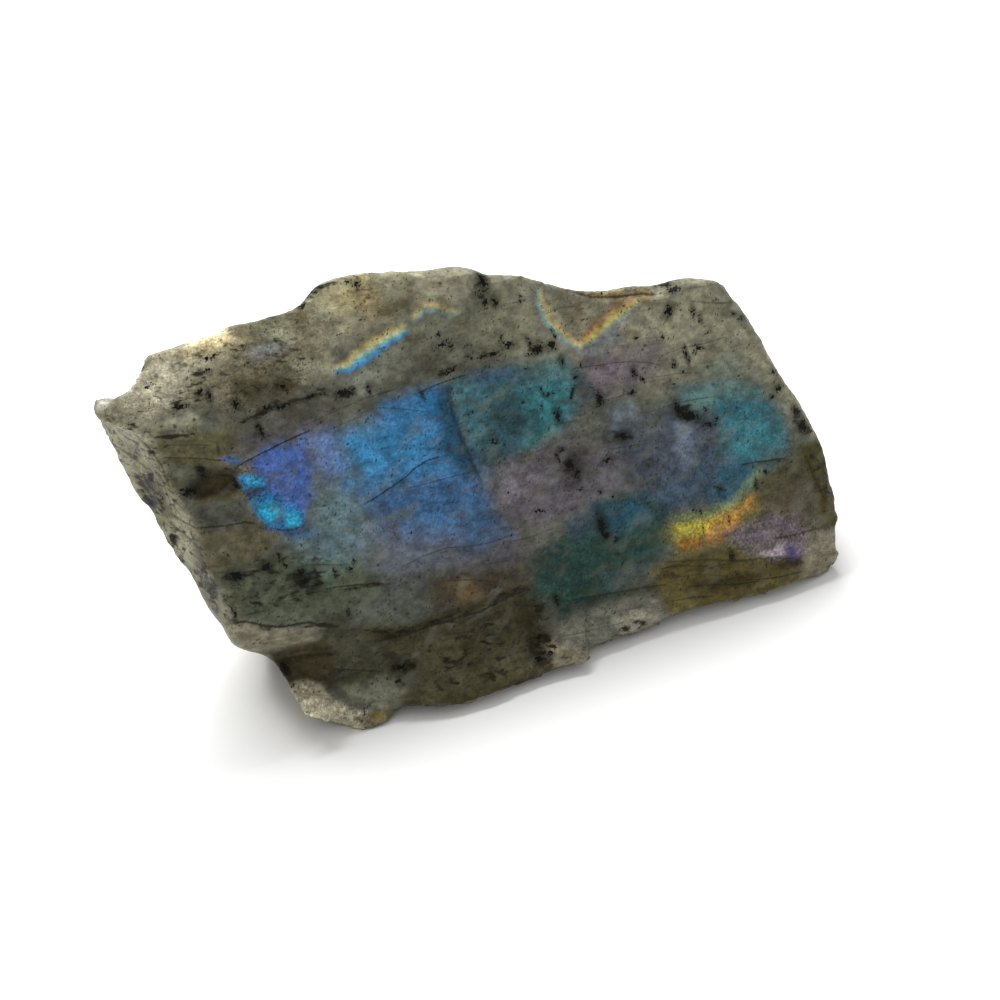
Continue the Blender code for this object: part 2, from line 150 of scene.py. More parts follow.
# Stains, bare stone, flashes of colour and some painted light and shade, each laid over the ones before it:
# colour, how far it covers, how soft its edge is, and its outline. The flashes are light reflected from
# thin layers inside the stone, painted into its colour.
PATCHES = [
    # the body, from the top edge down
    ("#585a50", 1, 2, (-60, 110), (130, 110), (130, -20), (-60, -20)),
    ("#8f8c75", 0.9, 4, (44, 86), (66, 72), (92, 70), (108, 38), (102, 44), (92, 54), (76, 51),
     (60, 60), (40, 70)),
    ("#a19d83", 0.9, 3, (4, 80), (5, 92), (22, 93), (44, 85), (36, 79), (27, 81), (14, 78)),
    ("#6e6d5b", 0.9, 3, (20, 79), (50, 79), (52, 69), (30, 68), (14, 72)),
    ("#857f68", 0.9, 2, (-38, 80), (-30, 89), (5, 90), (9, 80), (6, 73), (-10, 71), (-22, 75), (-32, 74)),
    ("#c9c2a8", 0.9, 2, (-37, 80), (-30, 88), (-14, 88), (-13, 83), (-20, 80), (-27, 76)),
    ("#dccd9e", 0.85, 1.4, (-20, 86.4), (-12, 86.6), (-8, 84.6), (-15, 83), (-21, 84)),
    ("#8d8468", 0.8, 1.2, (-30, 84.5), (-26, 89), (-19, 89), (-21, 85)),
    ("#615d46", 0.85, 2, (-15, 78.5), (-7, 79), (1, 77), (0, 74), (-13, 73)),
    ("#3b3521", 0.9, 1.8, (-12, 74.6), (-3, 75), (2, 73.6), (-1, 71), (-11, 71)),
    ("#8f969e", 0.65, 1, (-8, 82), (-2, 83), (0, 81), (-6, 80)),
    ("#5f5638", 0.7, 1, (-6, 87.5), (7, 87), (5, 83.5), (0, 85), (-5, 85)),
    ("#aca37a", 0.85, 2, (6, 88), (18, 92), (21, 87), (13, 83)),
    ("#9d8757", 0.6, 1.5, (14, 87), (19, 88), (22, 82), (17, 82)),
    ("#544f3a", 0.85, 2, (19, 84), (28, 85), (28, 80), (20, 81)),
    ("#5b584b", 0.8, 2, (-16, 71), (22, 71), (22, 66.5), (4, 66), (-14, 63), (-17, 66)),
    ("#828579", 0.7, 2, (9, 70.5), (22, 74), (24, 70), (12, 67)),
    ("#403d34", 0.8, 2, (24, 72), (30, 72), (30, 67.5), (23, 67)),
    ("#524e52", 0.8, 1.5, (-16, 66.5), (6, 66.3), (5, 63.3), (-13, 61.3)),
    ("#a6a48a", 0.8, 1, (-31, 75), (-22, 73.6), (-20, 71), (-24, 70.6), (-30, 71.6)),
    # White translucent feldspar at the far left rim, painted brighter for the light shining through it from
    # behind.
    ("#efe9da", 0.85, 1, (-40, 79.4), (-36, 84.6), (-31, 89), (-28, 89), (-32, 84), (-37, 80)),
    ("#96947c", 0.8, 1.2, (0, 78), (8.5, 77.6), (9, 73), (2, 72.4)),
    ("#adae92", 0.8, 1.2, (-6, 86), (0, 85.6), (3, 82), (-2, 82)),
    # The pale strips along the top edge face up; their paleness is painted light from above.
    ("#8f8c78", 0.85, 0.7, (77, 73.4), (92, 73), (96, 69.4), (88, 69.2), (79, 70)),
    ("#a08f5f", 0.85, 0.6, (64, 74), (70, 74.4), (73, 73.4), (72, 71.4), (66, 72)),
    ("#6f6040", 0.85, 0.9, (70, 72.8), (79, 71.8), (78, 68.6), (70, 68)),
    ("#5f523a", 0.6, 2, (57, 71), (60, 66), (64, 67.4), (63, 72), (58, 76)),
    # the left end and the splitting steps
    ("#908d75", 1, 1, (-45, 80), (-31, 76.5), (-28.5, 60), (-26, 50), (-24, 38), (-22, 30), (-24, 22),
     (-50, 50)),
    ("#68644a", 0.9, 1, (-36.5, 64.6), (-30.6, 64), (-29, 54), (-34.6, 53)),
    ("#5b573c", 0.9, 1, (-30, 71), (-15, 68), (-15, 61), (-24, 62.5), (-30, 65.5)),
    ("#5b5a4b", 0.9, 0.6, (-29, 64.5), (-23, 62.8), (-23.5, 59), (-29, 60)),
    # Painted shade in the recess under the olive facet.
    ("#332d1a", 0.95, 0.8, (-26, 60), (-22, 62), (-15, 59.5), (-15.5, 56), (-25, 56)),
    ("#4a4b43", 0.9, 0.6, (-27, 55.5), (-22, 55.2), (-16, 54.3), (-13.5, 49), (-20, 50), (-25, 50.8)),
    ("#6a5729", 0.8, 0.4, (-25.5, 56.3), (-16, 55.6), (-16.5, 54.4), (-21, 55.3)),
    ("#5a5540", 0.9, 1.2, (-26, 50.5), (-14, 49.5), (-9, 45), (-13, 41.5), (-22, 41), (-28, 43)),
    ("#535a48", 0.9, 1.5, (-25, 41), (-8, 41), (2, 36), (10, 30), (6, 26), (-12, 26.5), (-22, 30)),
    ("#565a4c", 0.7, 2, (-18, 33), (-11, 33), (-9, 28), (-16, 29)),
    ("#2e3729", 0.7, 2, (-11, 37), (-6, 37), (-2, 32), (-8, 31)),
    ("#5f6f5c", 0.85, 1, (-5, 36.6), (2, 37.4), (4, 33.6), (-2, 32)),
    ("#38463a", 0.8, 1, (-9, 37), (-6, 36.6), (-3.4, 33), (-7, 32.4), (-9.4, 34)),
    ("#6c6956", 0.9, 1.5, (-32, 40), (-23.6, 40), (-21, 29), (-28, 28)),
    # the strip, the block set back under it, and the chipped toe
    ("#7c7764", 0.95, 0.5, (-26, 29.5), (-20, 29.5), (-12, 26), (-5, 24.8), (-6, 21.8), (-17, 22.2),
     (-24, 23)),
    ("#3f3e2e", 0.9, 1.5, (-6, 25), (10, 24), (10, 10), (-2, 9), (-8, 12)),
    # Painted shade: the top of the block set back under the strip, in the strip's shadow.
    ("#38321f", 0.95, 0.6, (-17, 22), (-5, 21.8), (-4, 14), (-8, 10.5), (-15, 14.5)),
    ("#aca58d", 0.95, 0.5, (-16, 14.8), (-10.5, 15), (-8, 13), (-6.4, 9), (-3, 5.8), (1, 5), (0, -2),
     (-10, 2), (-16, 9)),
    ("#757562", 0.9, 1.2, (-3, 10.5), (6, 10), (10, 6), (6, 3), (1, 4.8), (-2, 7)),
    ("#6c6653", 0.9, 0.6, (-2, 4), (-1, -2), (4, -2), (5, 2.5), (1, 4.5)),
    ("#7d6b34", 0.9, 0.4, (0.8, 4.6), (4.8, 3.8), (4, 2.2), (1.6, 2.2)),
    # the lower right of the body
    ("#3f3b28", 0.95, 2, (4, 20), (12, 19), (22, 18), (34, 19), (42, 21), (43, 12), (43, -3), (20, -4),
     (6, 2), (10, 8)),
    ("#57523e", 0.8, 2, (12, 15), (22, 15), (24, 3), (13, 3)),
    ("#5a5640", 0.8, 2, (29, 8), (36, 8), (36, 2), (28, 2)),
    ("#242213", 0.9, 2, (36, 15), (40, 15), (40, 5), (37, 5)),
    ("#252114", 0.95, 2, (6, 13), (12, 13), (12, 9), (7, 9)),
    ("#4d5149", 0.9, 2, (4, 27), (18, 29.5), (20, 22), (14, 20), (2, 22)),
    ("#35331d", 0.85, 0.8, (4, 20.5), (20, 19.3), (36, 20.5), (36, 17.8), (20, 17.2), (8, 17.5)),
    ("#413829", 0.9, 1.5, (18, 27), (26, 28), (39, 25), (40, 20), (30, 19.6), (19, 20)),
    ("#705e42", 0.9, 1, (23, 24.5), (27.5, 24.5), (28.5, 20.5), (24.5, 20.3)),
    ("#968e78", 0.85, 1, (40, 5.6), (48, 4.5), (50, -2), (41, -3)),
    ("#363a30", 0.85, 1.2, (40, 15), (52, 14.6), (68, 12.6), (69, 9.6), (56, 11), (42, 9)),
    ("#6d6d61", 0.95, 1, (43, 9.4), (55, 10.4), (67, 9), (69, 2), (60, 0), (44, 3.5)),
    ("#948f7f", 0.85, 1.2, (56, 6.5), (66, 7.5), (67, 2), (58, 1)),
    ("#574e29", 0.95, 1.5, (66, 15.5), (86, 15), (94, 9), (104, 6), (100, 0), (70, 0), (67, 8)),
    ("#686039", 0.8, 1.2, (68, 9), (76, 7.5), (76, 2), (69, 3)),
    ("#372f15", 0.8, 0.8, (74, 9.5), (88, 7.5), (90, 5.5), (76, 6.5)),
    ("#524a3b", 0.9, 2, (94, 29), (107, 26), (107, 13), (98, 12), (88, 18)),
    ("#484832", 0.8, 2, (94, 29), (104, 29), (104, 22), (93, 22)),
    ("#827b69", 0.85, 1, (100, 11), (112, 9.4), (110, 1), (99, 2)),
    ("#423d1e", 1, 0.7, (104.4, 30), (116, 31), (118, 11.6), (107, 11.6), (106.4, 20)),
    ("#827f67", 0.85, 1.5, (98, 56), (106, 46), (112, 30), (106, 32), (101, 44)),
    # flashes: violet, lilac and azure
    ("#5f777e", 0.9, 3, (-6, 44), (-2, 48), (0, 53), (8, 52), (9, 45), (10, 38), (0, 35), (-5, 38)),
    ("#626878", 0.9, 3, (8, 40), (20, 40), (30, 38), (37, 32), (36, 27), (24, 28), (10, 30)),
    ("#4b474a", 0.9, 2, (24, 31), (38, 30), (44, 25), (30, 26)),
    ("#4662a0", 1, 1.2, (-13, 60.6), (-8, 61.8), (-1, 62.6), (-0.5, 57), (-2, 50), (-5, 46), (-8, 48),
     (-11, 54)),
    ("#5d76a4", 0.95, 2, (0, 62.5), (6, 61.5), (7, 54), (2, 52), (0, 56)),
    ("#3b6189", 0.95, 3, (7, 49), (32, 50), (35, 44), (36, 36), (37, 31.2), (31, 31), (22, 35), (12, 40)),
    ("#3b6d97", 1, 1.4, (8, 60), (15, 60.5), (17, 64.5), (29, 64.5), (30.5, 58), (31, 51), (28, 46),
     (10, 49)),
    ("#3c84b4", 0.9, 3, (8, 60), (17, 60.5), (26, 58), (24, 52), (14, 50), (8, 52)),
    ("#2b6793", 0.9, 1.2, (24, 63.5), (29, 64), (29.5, 59), (25, 58)),
    ("#3c5672", 0.8, 1.5, (31, 38), (35, 38), (37, 31.5), (32, 32)),
    # the chatoyant flecks at the left of the violet
    ("#5d4a4c", 0.7, 0.8, (-16, 60), (-12.5, 60), (-12, 58), (-15, 58.5)),
    ("#34548a", 0.9, 0.5, (-18, 62.8), (-15.5, 62.8), (-14, 61), (-15.5, 60.8)),
    ("#2a80ac", 1, 0.4, (-16, 58.4), (-13.6, 58.4), (-11, 57), (-9.6, 55.2), (-12, 55), (-15, 55.8)),
    ("#27699a", 1, 0.5, (-13.8, 53.8), (-10, 54), (-7.4, 51), (-4, 47.6), (-3.8, 44.8), (-8, 44.8),
     (-11.6, 46.4), (-13.4, 50)),
    ("#1fa6cf", 1, 0.6, (-12.6, 51.8), (-9.8, 51.4), (-8.6, 48.4), (-10.8, 47.4), (-12.4, 49)),
    ("#2a9cc0", 1, 0.4, (-8.2, 48.2), (-5.6, 47.8), (-4.8, 45.2), (-7.9, 45.4)),
    ("#3a94b8", 0.8, 0.3, (-14.4, 57.6), (-12.4, 57.4), (-11.4, 56), (-13.8, 56.2)),
    ("#333c5e", 0.9, 0.3, (-14.8, 55.2), (-9.4, 54.8), (-9.2, 53.9), (-14, 53.9)),
    ("#31567c", 0.8, 0.8, (-9, 44.8), (-3, 44.8), (-2, 42), (-7, 43)),
    # teal, the dark oval in it, and the mauve middle
    ("#3a5f68", 1, 1.6, (30.5, 64.8), (44, 64.5), (57, 62), (58.5, 56), (56, 49), (44, 46.5), (36, 47),
     (33, 52)),
    ("#44676f", 0.8, 1.5, (31, 64), (38, 63.5), (37, 60), (31, 60)),
    ("#394f67", 0.8, 1.2, (36, 65), (44, 64.3), (46, 62), (38, 62.5)),
    ("#336a70", 0.95, 2, (46, 58), (57, 60), (57, 55), (50, 48), (46, 51)),
    ("#587872", 0.8, 2, (48, 64.5), (54, 63.5), (56, 60), (51, 60.5)),
    ("#3f716e", 0.8, 1, (44, 49.5), (52, 49.5), (52, 47.5), (45, 47)),
    ("#2f474e", 0.8, 1.5, (35, 49.6), (43, 50), (43, 46.4), (36, 46)),
    ("#253e42", 0.95, 2.5, (37, 57), (43, 57), (47, 53), (44, 50.5), (38, 51.5)),
    ("#1f455a", 0.9, 1, (27, 62), (31.2, 64), (32.2, 52), (33.4, 45), (30, 45), (27.2, 53)),
    ("#5d585f", 0.95, 2.5, (36, 43), (42, 45), (50, 46), (60, 43), (66, 42), (64, 33), (54, 31),
     (44, 31), (37, 33)),
    ("#675e65", 0.9, 2, (60, 62), (70, 61), (78, 60.5), (78, 54.5), (70, 53.5), (61, 54)),
    ("#7c6f78", 0.85, 1.8, (62, 59), (68, 59.5), (70, 56), (63, 55)),
    ("#77707a", 0.5, 1.5, (37, 41), (42, 43), (44, 40), (40, 37), (37, 38)),
    ("#716b73", 0.6, 1.5, (43, 38), (48, 40), (50, 36), (45, 34)),
    ("#393a3e", 0.7, 1.5, (62, 46), (69, 45.6), (69, 42), (63, 42)),
    ("#3c3739", 0.85, 2, (50, 44), (57, 44), (57, 37), (53, 37)),
    # slate and turquoise on the right
    ("#37444e", 0.8, 1.2, (57, 60), (60, 59), (61.5, 53), (58, 52)),
    ("#707a80", 0.8, 1, (60, 63.5), (68, 65), (70, 63), (63, 61)),
    ("#444b57", 0.95, 2.5, (64, 48), (76, 46), (80, 48), (88, 46), (88, 34), (84, 26), (70, 26),
     (66, 31), (64, 40)),
    ("#6c7984", 0.85, 1.5, (64, 50), (70, 50), (71, 46.5), (65, 46)),
    ("#667180", 0.85, 1.2, (77, 42), (80, 43), (81, 33), (78, 33)),
    ("#5b625e", 0.7, 1.5, (69, 47.5), (76, 46), (74, 41.5), (68, 42)),
    ("#3d5161", 0.9, 2.5, (68, 31), (84, 34), (90, 32), (88, 25.5), (78, 24.5), (70, 26)),
    ("#587c7a", 0.9, 1.5, (80, 49), (92, 48.5), (99, 44), (94, 42), (82, 43)),
    ("#33626c", 1, 1.8, (88, 45), (97, 44), (102, 39), (102, 31), (97, 28.5), (90, 29.5), (87, 35),
     (87, 42)),
    ("#3f7a84", 0.8, 2, (89, 41), (98, 40), (100, 36), (97, 32), (90, 32)),
    ("#6d7567", 0.75, 1, (85, 52.5), (94, 53.5), (96, 50), (87, 49)),
    ("#295768", 0.9, 1, (86, 31), (95, 30), (93, 26), (86, 23.5), (82, 25)),
    ("#667f63", 0.8, 0.5, (86.6, 22.8), (89, 25), (92, 27), (95.8, 28.4), (96.4, 27.4), (92.6, 25),
     (89.4, 22)),
    # sea green at the foot
    ("#24403a", 0.95, 1.8, (42, 24), (50, 28), (58, 31), (68, 30), (73, 25), (70, 17), (58, 13.4),
     (46, 12), (40, 17)),
    ("#3e5062", 0.8, 1.5, (49, 30), (57, 31.5), (57, 28), (52, 26)),
    ("#284c5c", 0.9, 1.5, (57, 31), (67, 30.5), (69, 26), (60, 24.5)),
    ("#233634", 0.8, 2, (44, 24), (50, 23), (49, 20), (43, 20)),
    ("#314547", 0.8, 1.5, (55, 17.5), (66, 18), (66, 14.5), (56, 14)),
    # gold, orange and purple at the lower right
    ("#6a6539", 0.95, 1.5, (70, 22), (75, 23.5), (86, 22), (90, 23.5), (94, 22), (93, 19), (84, 15.5),
     (73, 15)),
    ("#b4a83e", 1, 0.9, (73, 21.8), (79, 22), (83, 21.6), (82, 18.6), (74, 18.4)),
    ("#76875c", 0.8, 0.7, (73, 23.5), (80, 23.3), (88, 22.8), (88, 21.5), (80, 22), (74, 22.2)),
    ("#8f6226", 0.95, 0.8, (73, 18.5), (80, 18.3), (88, 19.3), (88, 17.5), (84, 16), (74, 15.8)),
    ("#b0853c", 0.95, 0.9, (80.5, 21), (86, 21.6), (92, 23), (92, 20.4), (86, 18.4), (80, 17.8)),
    ("#746870", 0.9, 1.5, (85, 17), (94, 17.5), (101, 16), (102, 12.5), (90, 12)),
    ("#a1979c", 0.95, 0.5, (91, 11.2), (97, 11.5), (98, 9), (94, 8.5)),
    ("#8d808a", 0.9, 0.8, (96, 12), (102, 11), (101, 7.5), (98, 7)),
    ("#4b3f6b", 0.9, 0.8, (96.4, 10.6), (99, 10.6), (99.4, 7.6), (96.8, 7)),
    # Painted shadow under the purple chip.
    ("#2c261a", 0.8, 0.6, (94, 7.5), (100, 7.2), (99, 5.5), (95, 6)),
]

# Rainbow bands, light reflected from a thin air film in a split, painted into the colour. Colours across a
# band, in mm from its line.
BLUE_TO_GOLD = [
    (-2.2, "#5f6260"), (-1.4, "#3f88c2"), (-0.6, "#62a8be"),
    (0.3, "#b4c49c"), (1.1, "#bda768"), (2.2, "#857a5c"),
]
PALE_GREEN = [(-1.6, "#6a7072"), (-0.7, "#7fa0a0"), (0.1, "#b9bf92"), (0.8, "#b59c66"), (1.7, "#857458")]
GOLD_TO_ROSE = [
    (-1.9, "#70738c"), (-1, "#8b9c92"), (0, "#bfba7a"),
    (0.9, "#b4934f"), (2, "#8b6c4a"), (3.4, "#72614e"),
]
# How strong each band is, its colours and the line it follows.
RAINBOWS = [
    (0.95, BLUE_TO_GOLD, (7.3, 73.3), (11.9, 73.7), (15.5, 75.2), (20, 76.3), (25.7, 77.6)),
    (0.75, PALE_GREEN, (25.8, 78.3), (29.3, 80.6), (32, 79.8), (34, 78.3), (37.4, 77.4)),
    (0.85, PALE_GREEN, (54, 78.6), (53.7, 75), (54.6, 71.6), (56.8, 67.6), (59.6, 64.4), (61, 63.6)),
    (0.9, GOLD_TO_ROSE, (59.4, 64.6), (60.8, 63.6), (63, 64.6), (66, 66.2), (69, 67.3), (72, 68.1),
     (75.5, 69.4)),
]

# Cracks, and two painted shadow lines under overhanging edges: how wide in mm, how dark, and the line.
# Those that cross others are in a list of their own.
CRACKS_AND_SHADOW_LINES = [
    (0.22, 1, (-16, 60.1), (-13, 60.9), (-9, 61.6), (-6, 62.2), (-1, 62.9), (1, 63.1)),
    (0.14, 0.5, (0, 64.3), (4, 65), (8, 65.6), (14, 66.2), (20, 66.2)),
    (0.12, 0.4, (3, 61.9), (7, 62.4), (12, 63)),
    (0.3, 0.9, (-13, 68.6), (-9, 69.2), (-5, 69.8), (0, 69.6), (5.5, 69.8)),
    (0.2, 0.9, (24, 64), (27, 64.5), (30, 64.8), (36, 65)),
    (0.22, 0.9, (8.5, 45.6), (12, 46.4), (16, 47.6), (18.5, 48.4), (20.5, 49.6), (23.5, 50.4), (27, 50.4)),
    (0.14, 0.6, (18, 46.1), (24, 45.9), (33, 45.5)),
    (0.12, 0.4, (25, 55.2), (30, 55.7), (36, 55.7)),
    (0.16, 0.6, (14, 31), (19, 31.8), (24, 32), (28, 31), (33, 30.3), (38, 30.5)),
    (0.3, 1, (-31, 70.7), (-27, 70), (-23, 69)),
    (0.2, 0.9, (-3.5, 31.4), (0, 31), (3, 30.4), (6, 29.7), (10, 28.6)),
    (0.25, 0.8, (-26.5, 51), (-20, 49.6), (-16, 49.2), (-13.5, 48)),
    # Painted shadow line under the strip's overhanging edge, also cut in as a groove.
    (0.35, 0.9, (-24, 30.4), (-20.5, 30), (-17, 28.1), (-14, 26.8), (-11, 26.3), (-7.5, 25.8),
     (-4, 23.7), (-1, 23)),
    # Painted shadow line under the overhanging edge above the lower block, also cut in as a groove.
    (0.3, 0.8, (5, 17.8), (12, 17.3), (20, 17.6), (28, 17.1), (34, 18.2), (39, 18.6)),
    (0.14, 0.6, (57.5, 60), (62, 59.3), (67, 58.6), (71, 57.8), (75, 56.4), (78, 54.8)),
    (0.14, 0.6, (62, 51.9), (66, 51.5), (71, 51.8)),
    (0.14, 0.5, (61.5, 41.7), (66, 41.1), (72, 40.3)),
    (0.14, 0.5, (75, 53.3), (80, 52.7), (86, 51.3)),
    (0.12, 0.5, (78, 57.2), (82, 57.5), (88, 57), (93, 57.1)),
    (0.14, 0.6, (75, 46.8), (81, 46.6), (88, 45.7)),
    (0.26, 0.9, (90, 30.2), (94, 29.8), (97, 29.2), (101, 28.7)),
    (0.3, 0.55, (69, 15.4), (75, 14), (80, 12.7), (86, 10.6), (94, 9), (99, 7)),
    (0.3, 0.55, (73, 8.8), (78, 7.6), (84, 5.6), (90, 4.5)),
    (0.3, 0.6, (95, 12.8), (100, 12.2), (106, 12)),
    (0.3, 0.5, (46, 13.8), (55, 12.6), (64, 11.4), (70, 10.4)),
    (0.14, 0.5, (36, 29.6), (41, 28.8), (48, 29.3)),
    (0.18, 0.5, (44, 6.8), (50, 6), (58, 5.2)),
    (0.4, 0.7, (-15.5, 20.3), (-10, 19.6), (-4, 18.2)),
    (0.3, 0.5, (86, 66.6), (90, 65), (95, 63.6)),
    (0.16, 0.8, (-13.6, 54), (-11.6, 53.2), (-9.4, 53.6)),
    (0.16, 0.8, (-11.4, 46.6), (-8, 45), (-4, 44.8)),
    (0.2, 0.6, (-34.4, 57.4), (-31, 60.6), (-29.2, 61.8)),
    (0.2, 0.7, (-30, 66.4), (-24, 64.6), (-17.5, 62.2)),
    (0.16, 0.5, (-29, 68.6), (-23, 67), (-18.6, 65.6)),
    (0.2, 0.6, (-30.5, 55.2), (-28, 52.6), (-25.5, 50.4)),
    (0.2, 0.7, (-5, 15.2), (0, 13.4), (5, 11.6)),
    (0.3, 0.8, (5.2, 3.2), (8, 2.2), (13, 1)),
    (0.25, 0.8, (2.6, 21.2), (6, 19.6), (9.5, 18.3)),
    (0.3, 0.8, (61, 75.2), (65, 73), (70, 71.6), (75.5, 70.8), (79.5, 69.6)),
    (0.16, 0.6, (54, 72.3), (58, 72.6), (62, 72)),
    (0.2, 0.7, (68, 14.2), (73, 13.6), (79, 11.5)),
    (0.16, 0.5, (70, 11.6), (77, 10.4), (83, 8.2)),
    (0.2, 0.6, (69, 6.6), (74, 5.9), (79, 4.4)),
    (0.25, 0.7, (100, 3.6), (93, 4.2), (86, 6)),
    (0.2, 0.6, (-7, 37.6), (-2, 36.2), (3, 34.6)),
    (0.2, 0.6, (22, 25.6), (28, 24), (33, 22)),
]
CROSSING_CRACKS = [
    (0.16, 0.5, (15, 63.8), (19, 62.6), (23, 61), (27, 59.4)),
    (0.6, 0.45, (31.2, 64), (30.8, 58), (31.8, 52), (33, 47), (34, 42)),
    (0.3, 0.8, (-18.3, 66.4), (-18.2, 63.6)),
    (0.2, 0.6, (-36.6, 66.6), (-34, 69.8), (-31.4, 72.6)),
    (0.2, 0.5, (-31, 45.6), (-28.4, 48), (-26, 50)),
    (0.3, 0.6, (-38.5, 71.5), (-35.5, 68.3), (-32.6, 64.4)),
    (0.25, 0.6, (-31.5, 54), (-29, 51), (-26.4, 47)),
    (0.25, 0.5, (-33, 68), (-30.5, 62), (-30, 57), (-28, 53.5)),
    (0.3, 0.5, (105.6, 28), (106.8, 22), (108.4, 17)),
    (0.25, 0.6, (-34.3, 73), (-31.6, 68.6), (-29.9, 64), (-29.4, 59.6)),
]

# Where the stone steps down below a line: its drop and how far the step is felt, in mm, and the line.
LEDGES = [
    (0.6, 1.6, (-31.5, 71), (-27, 70), (-22, 68.7)),
    (0.35, 1.3, (-30, 66.6), (-24, 64.8), (-17, 62)),
    (0.4, 1.5, (-5, 31.6), (0, 31), (5, 30), (10.5, 28.6)),
    (0.7, 2.6, (67, 15.4), (75, 14), (86, 10.8), (94, 9), (102, 7)),
    (0.5, 2, (72, 9.4), (80, 7.2), (90, 4.5)),
    (-0.5, 2.2, (43, 11.4), (50, 12.4), (58, 12), (67.5, 10.6)),
    (0.45, 1.4, (-14, 68.5), (-9, 69.3), (0, 69.7), (6, 69.9)),
    (0.5, 1.6, (1.5, 77.2), (5, 77.6), (8.5, 74.8)),
    (0.45, 1.6, (-32.4, 61.5), (-33.4, 66), (-36, 71), (-39.2, 75)),
    (0.4, 1.5, (-29.4, 59.6), (-30, 64), (-31.6, 68.6), (-34.3, 73)),
    (0.5, 1.5, (-26.6, 46.5), (-29, 50.5), (-32, 54.5)),
    (0.4, 1.2, (-25.3, 50.4), (-28, 52.8), (-30.6, 55.5)),
    (0.4, 1.4, (88, 30.4), (94, 29.8), (102, 28.6)),
    (0.5, 1.4, (61, 75.2), (65, 73), (70, 71.6), (75.5, 70.8), (79.5, 69.6)),
    (0.5, 1.6, (105.4, 29), (106.6, 22), (108.4, 16)),
    (0.35, 1.2, (-15.5, 20.4), (-10, 19.7), (-3.5, 18.2)),
    (0.35, 1.2, (-5, 15.4), (0, 13.6), (6, 11.4)),
    (0.35, 1.4, (20, 24.4), (26, 24.6), (31, 22.4), (39, 20.4)),
]

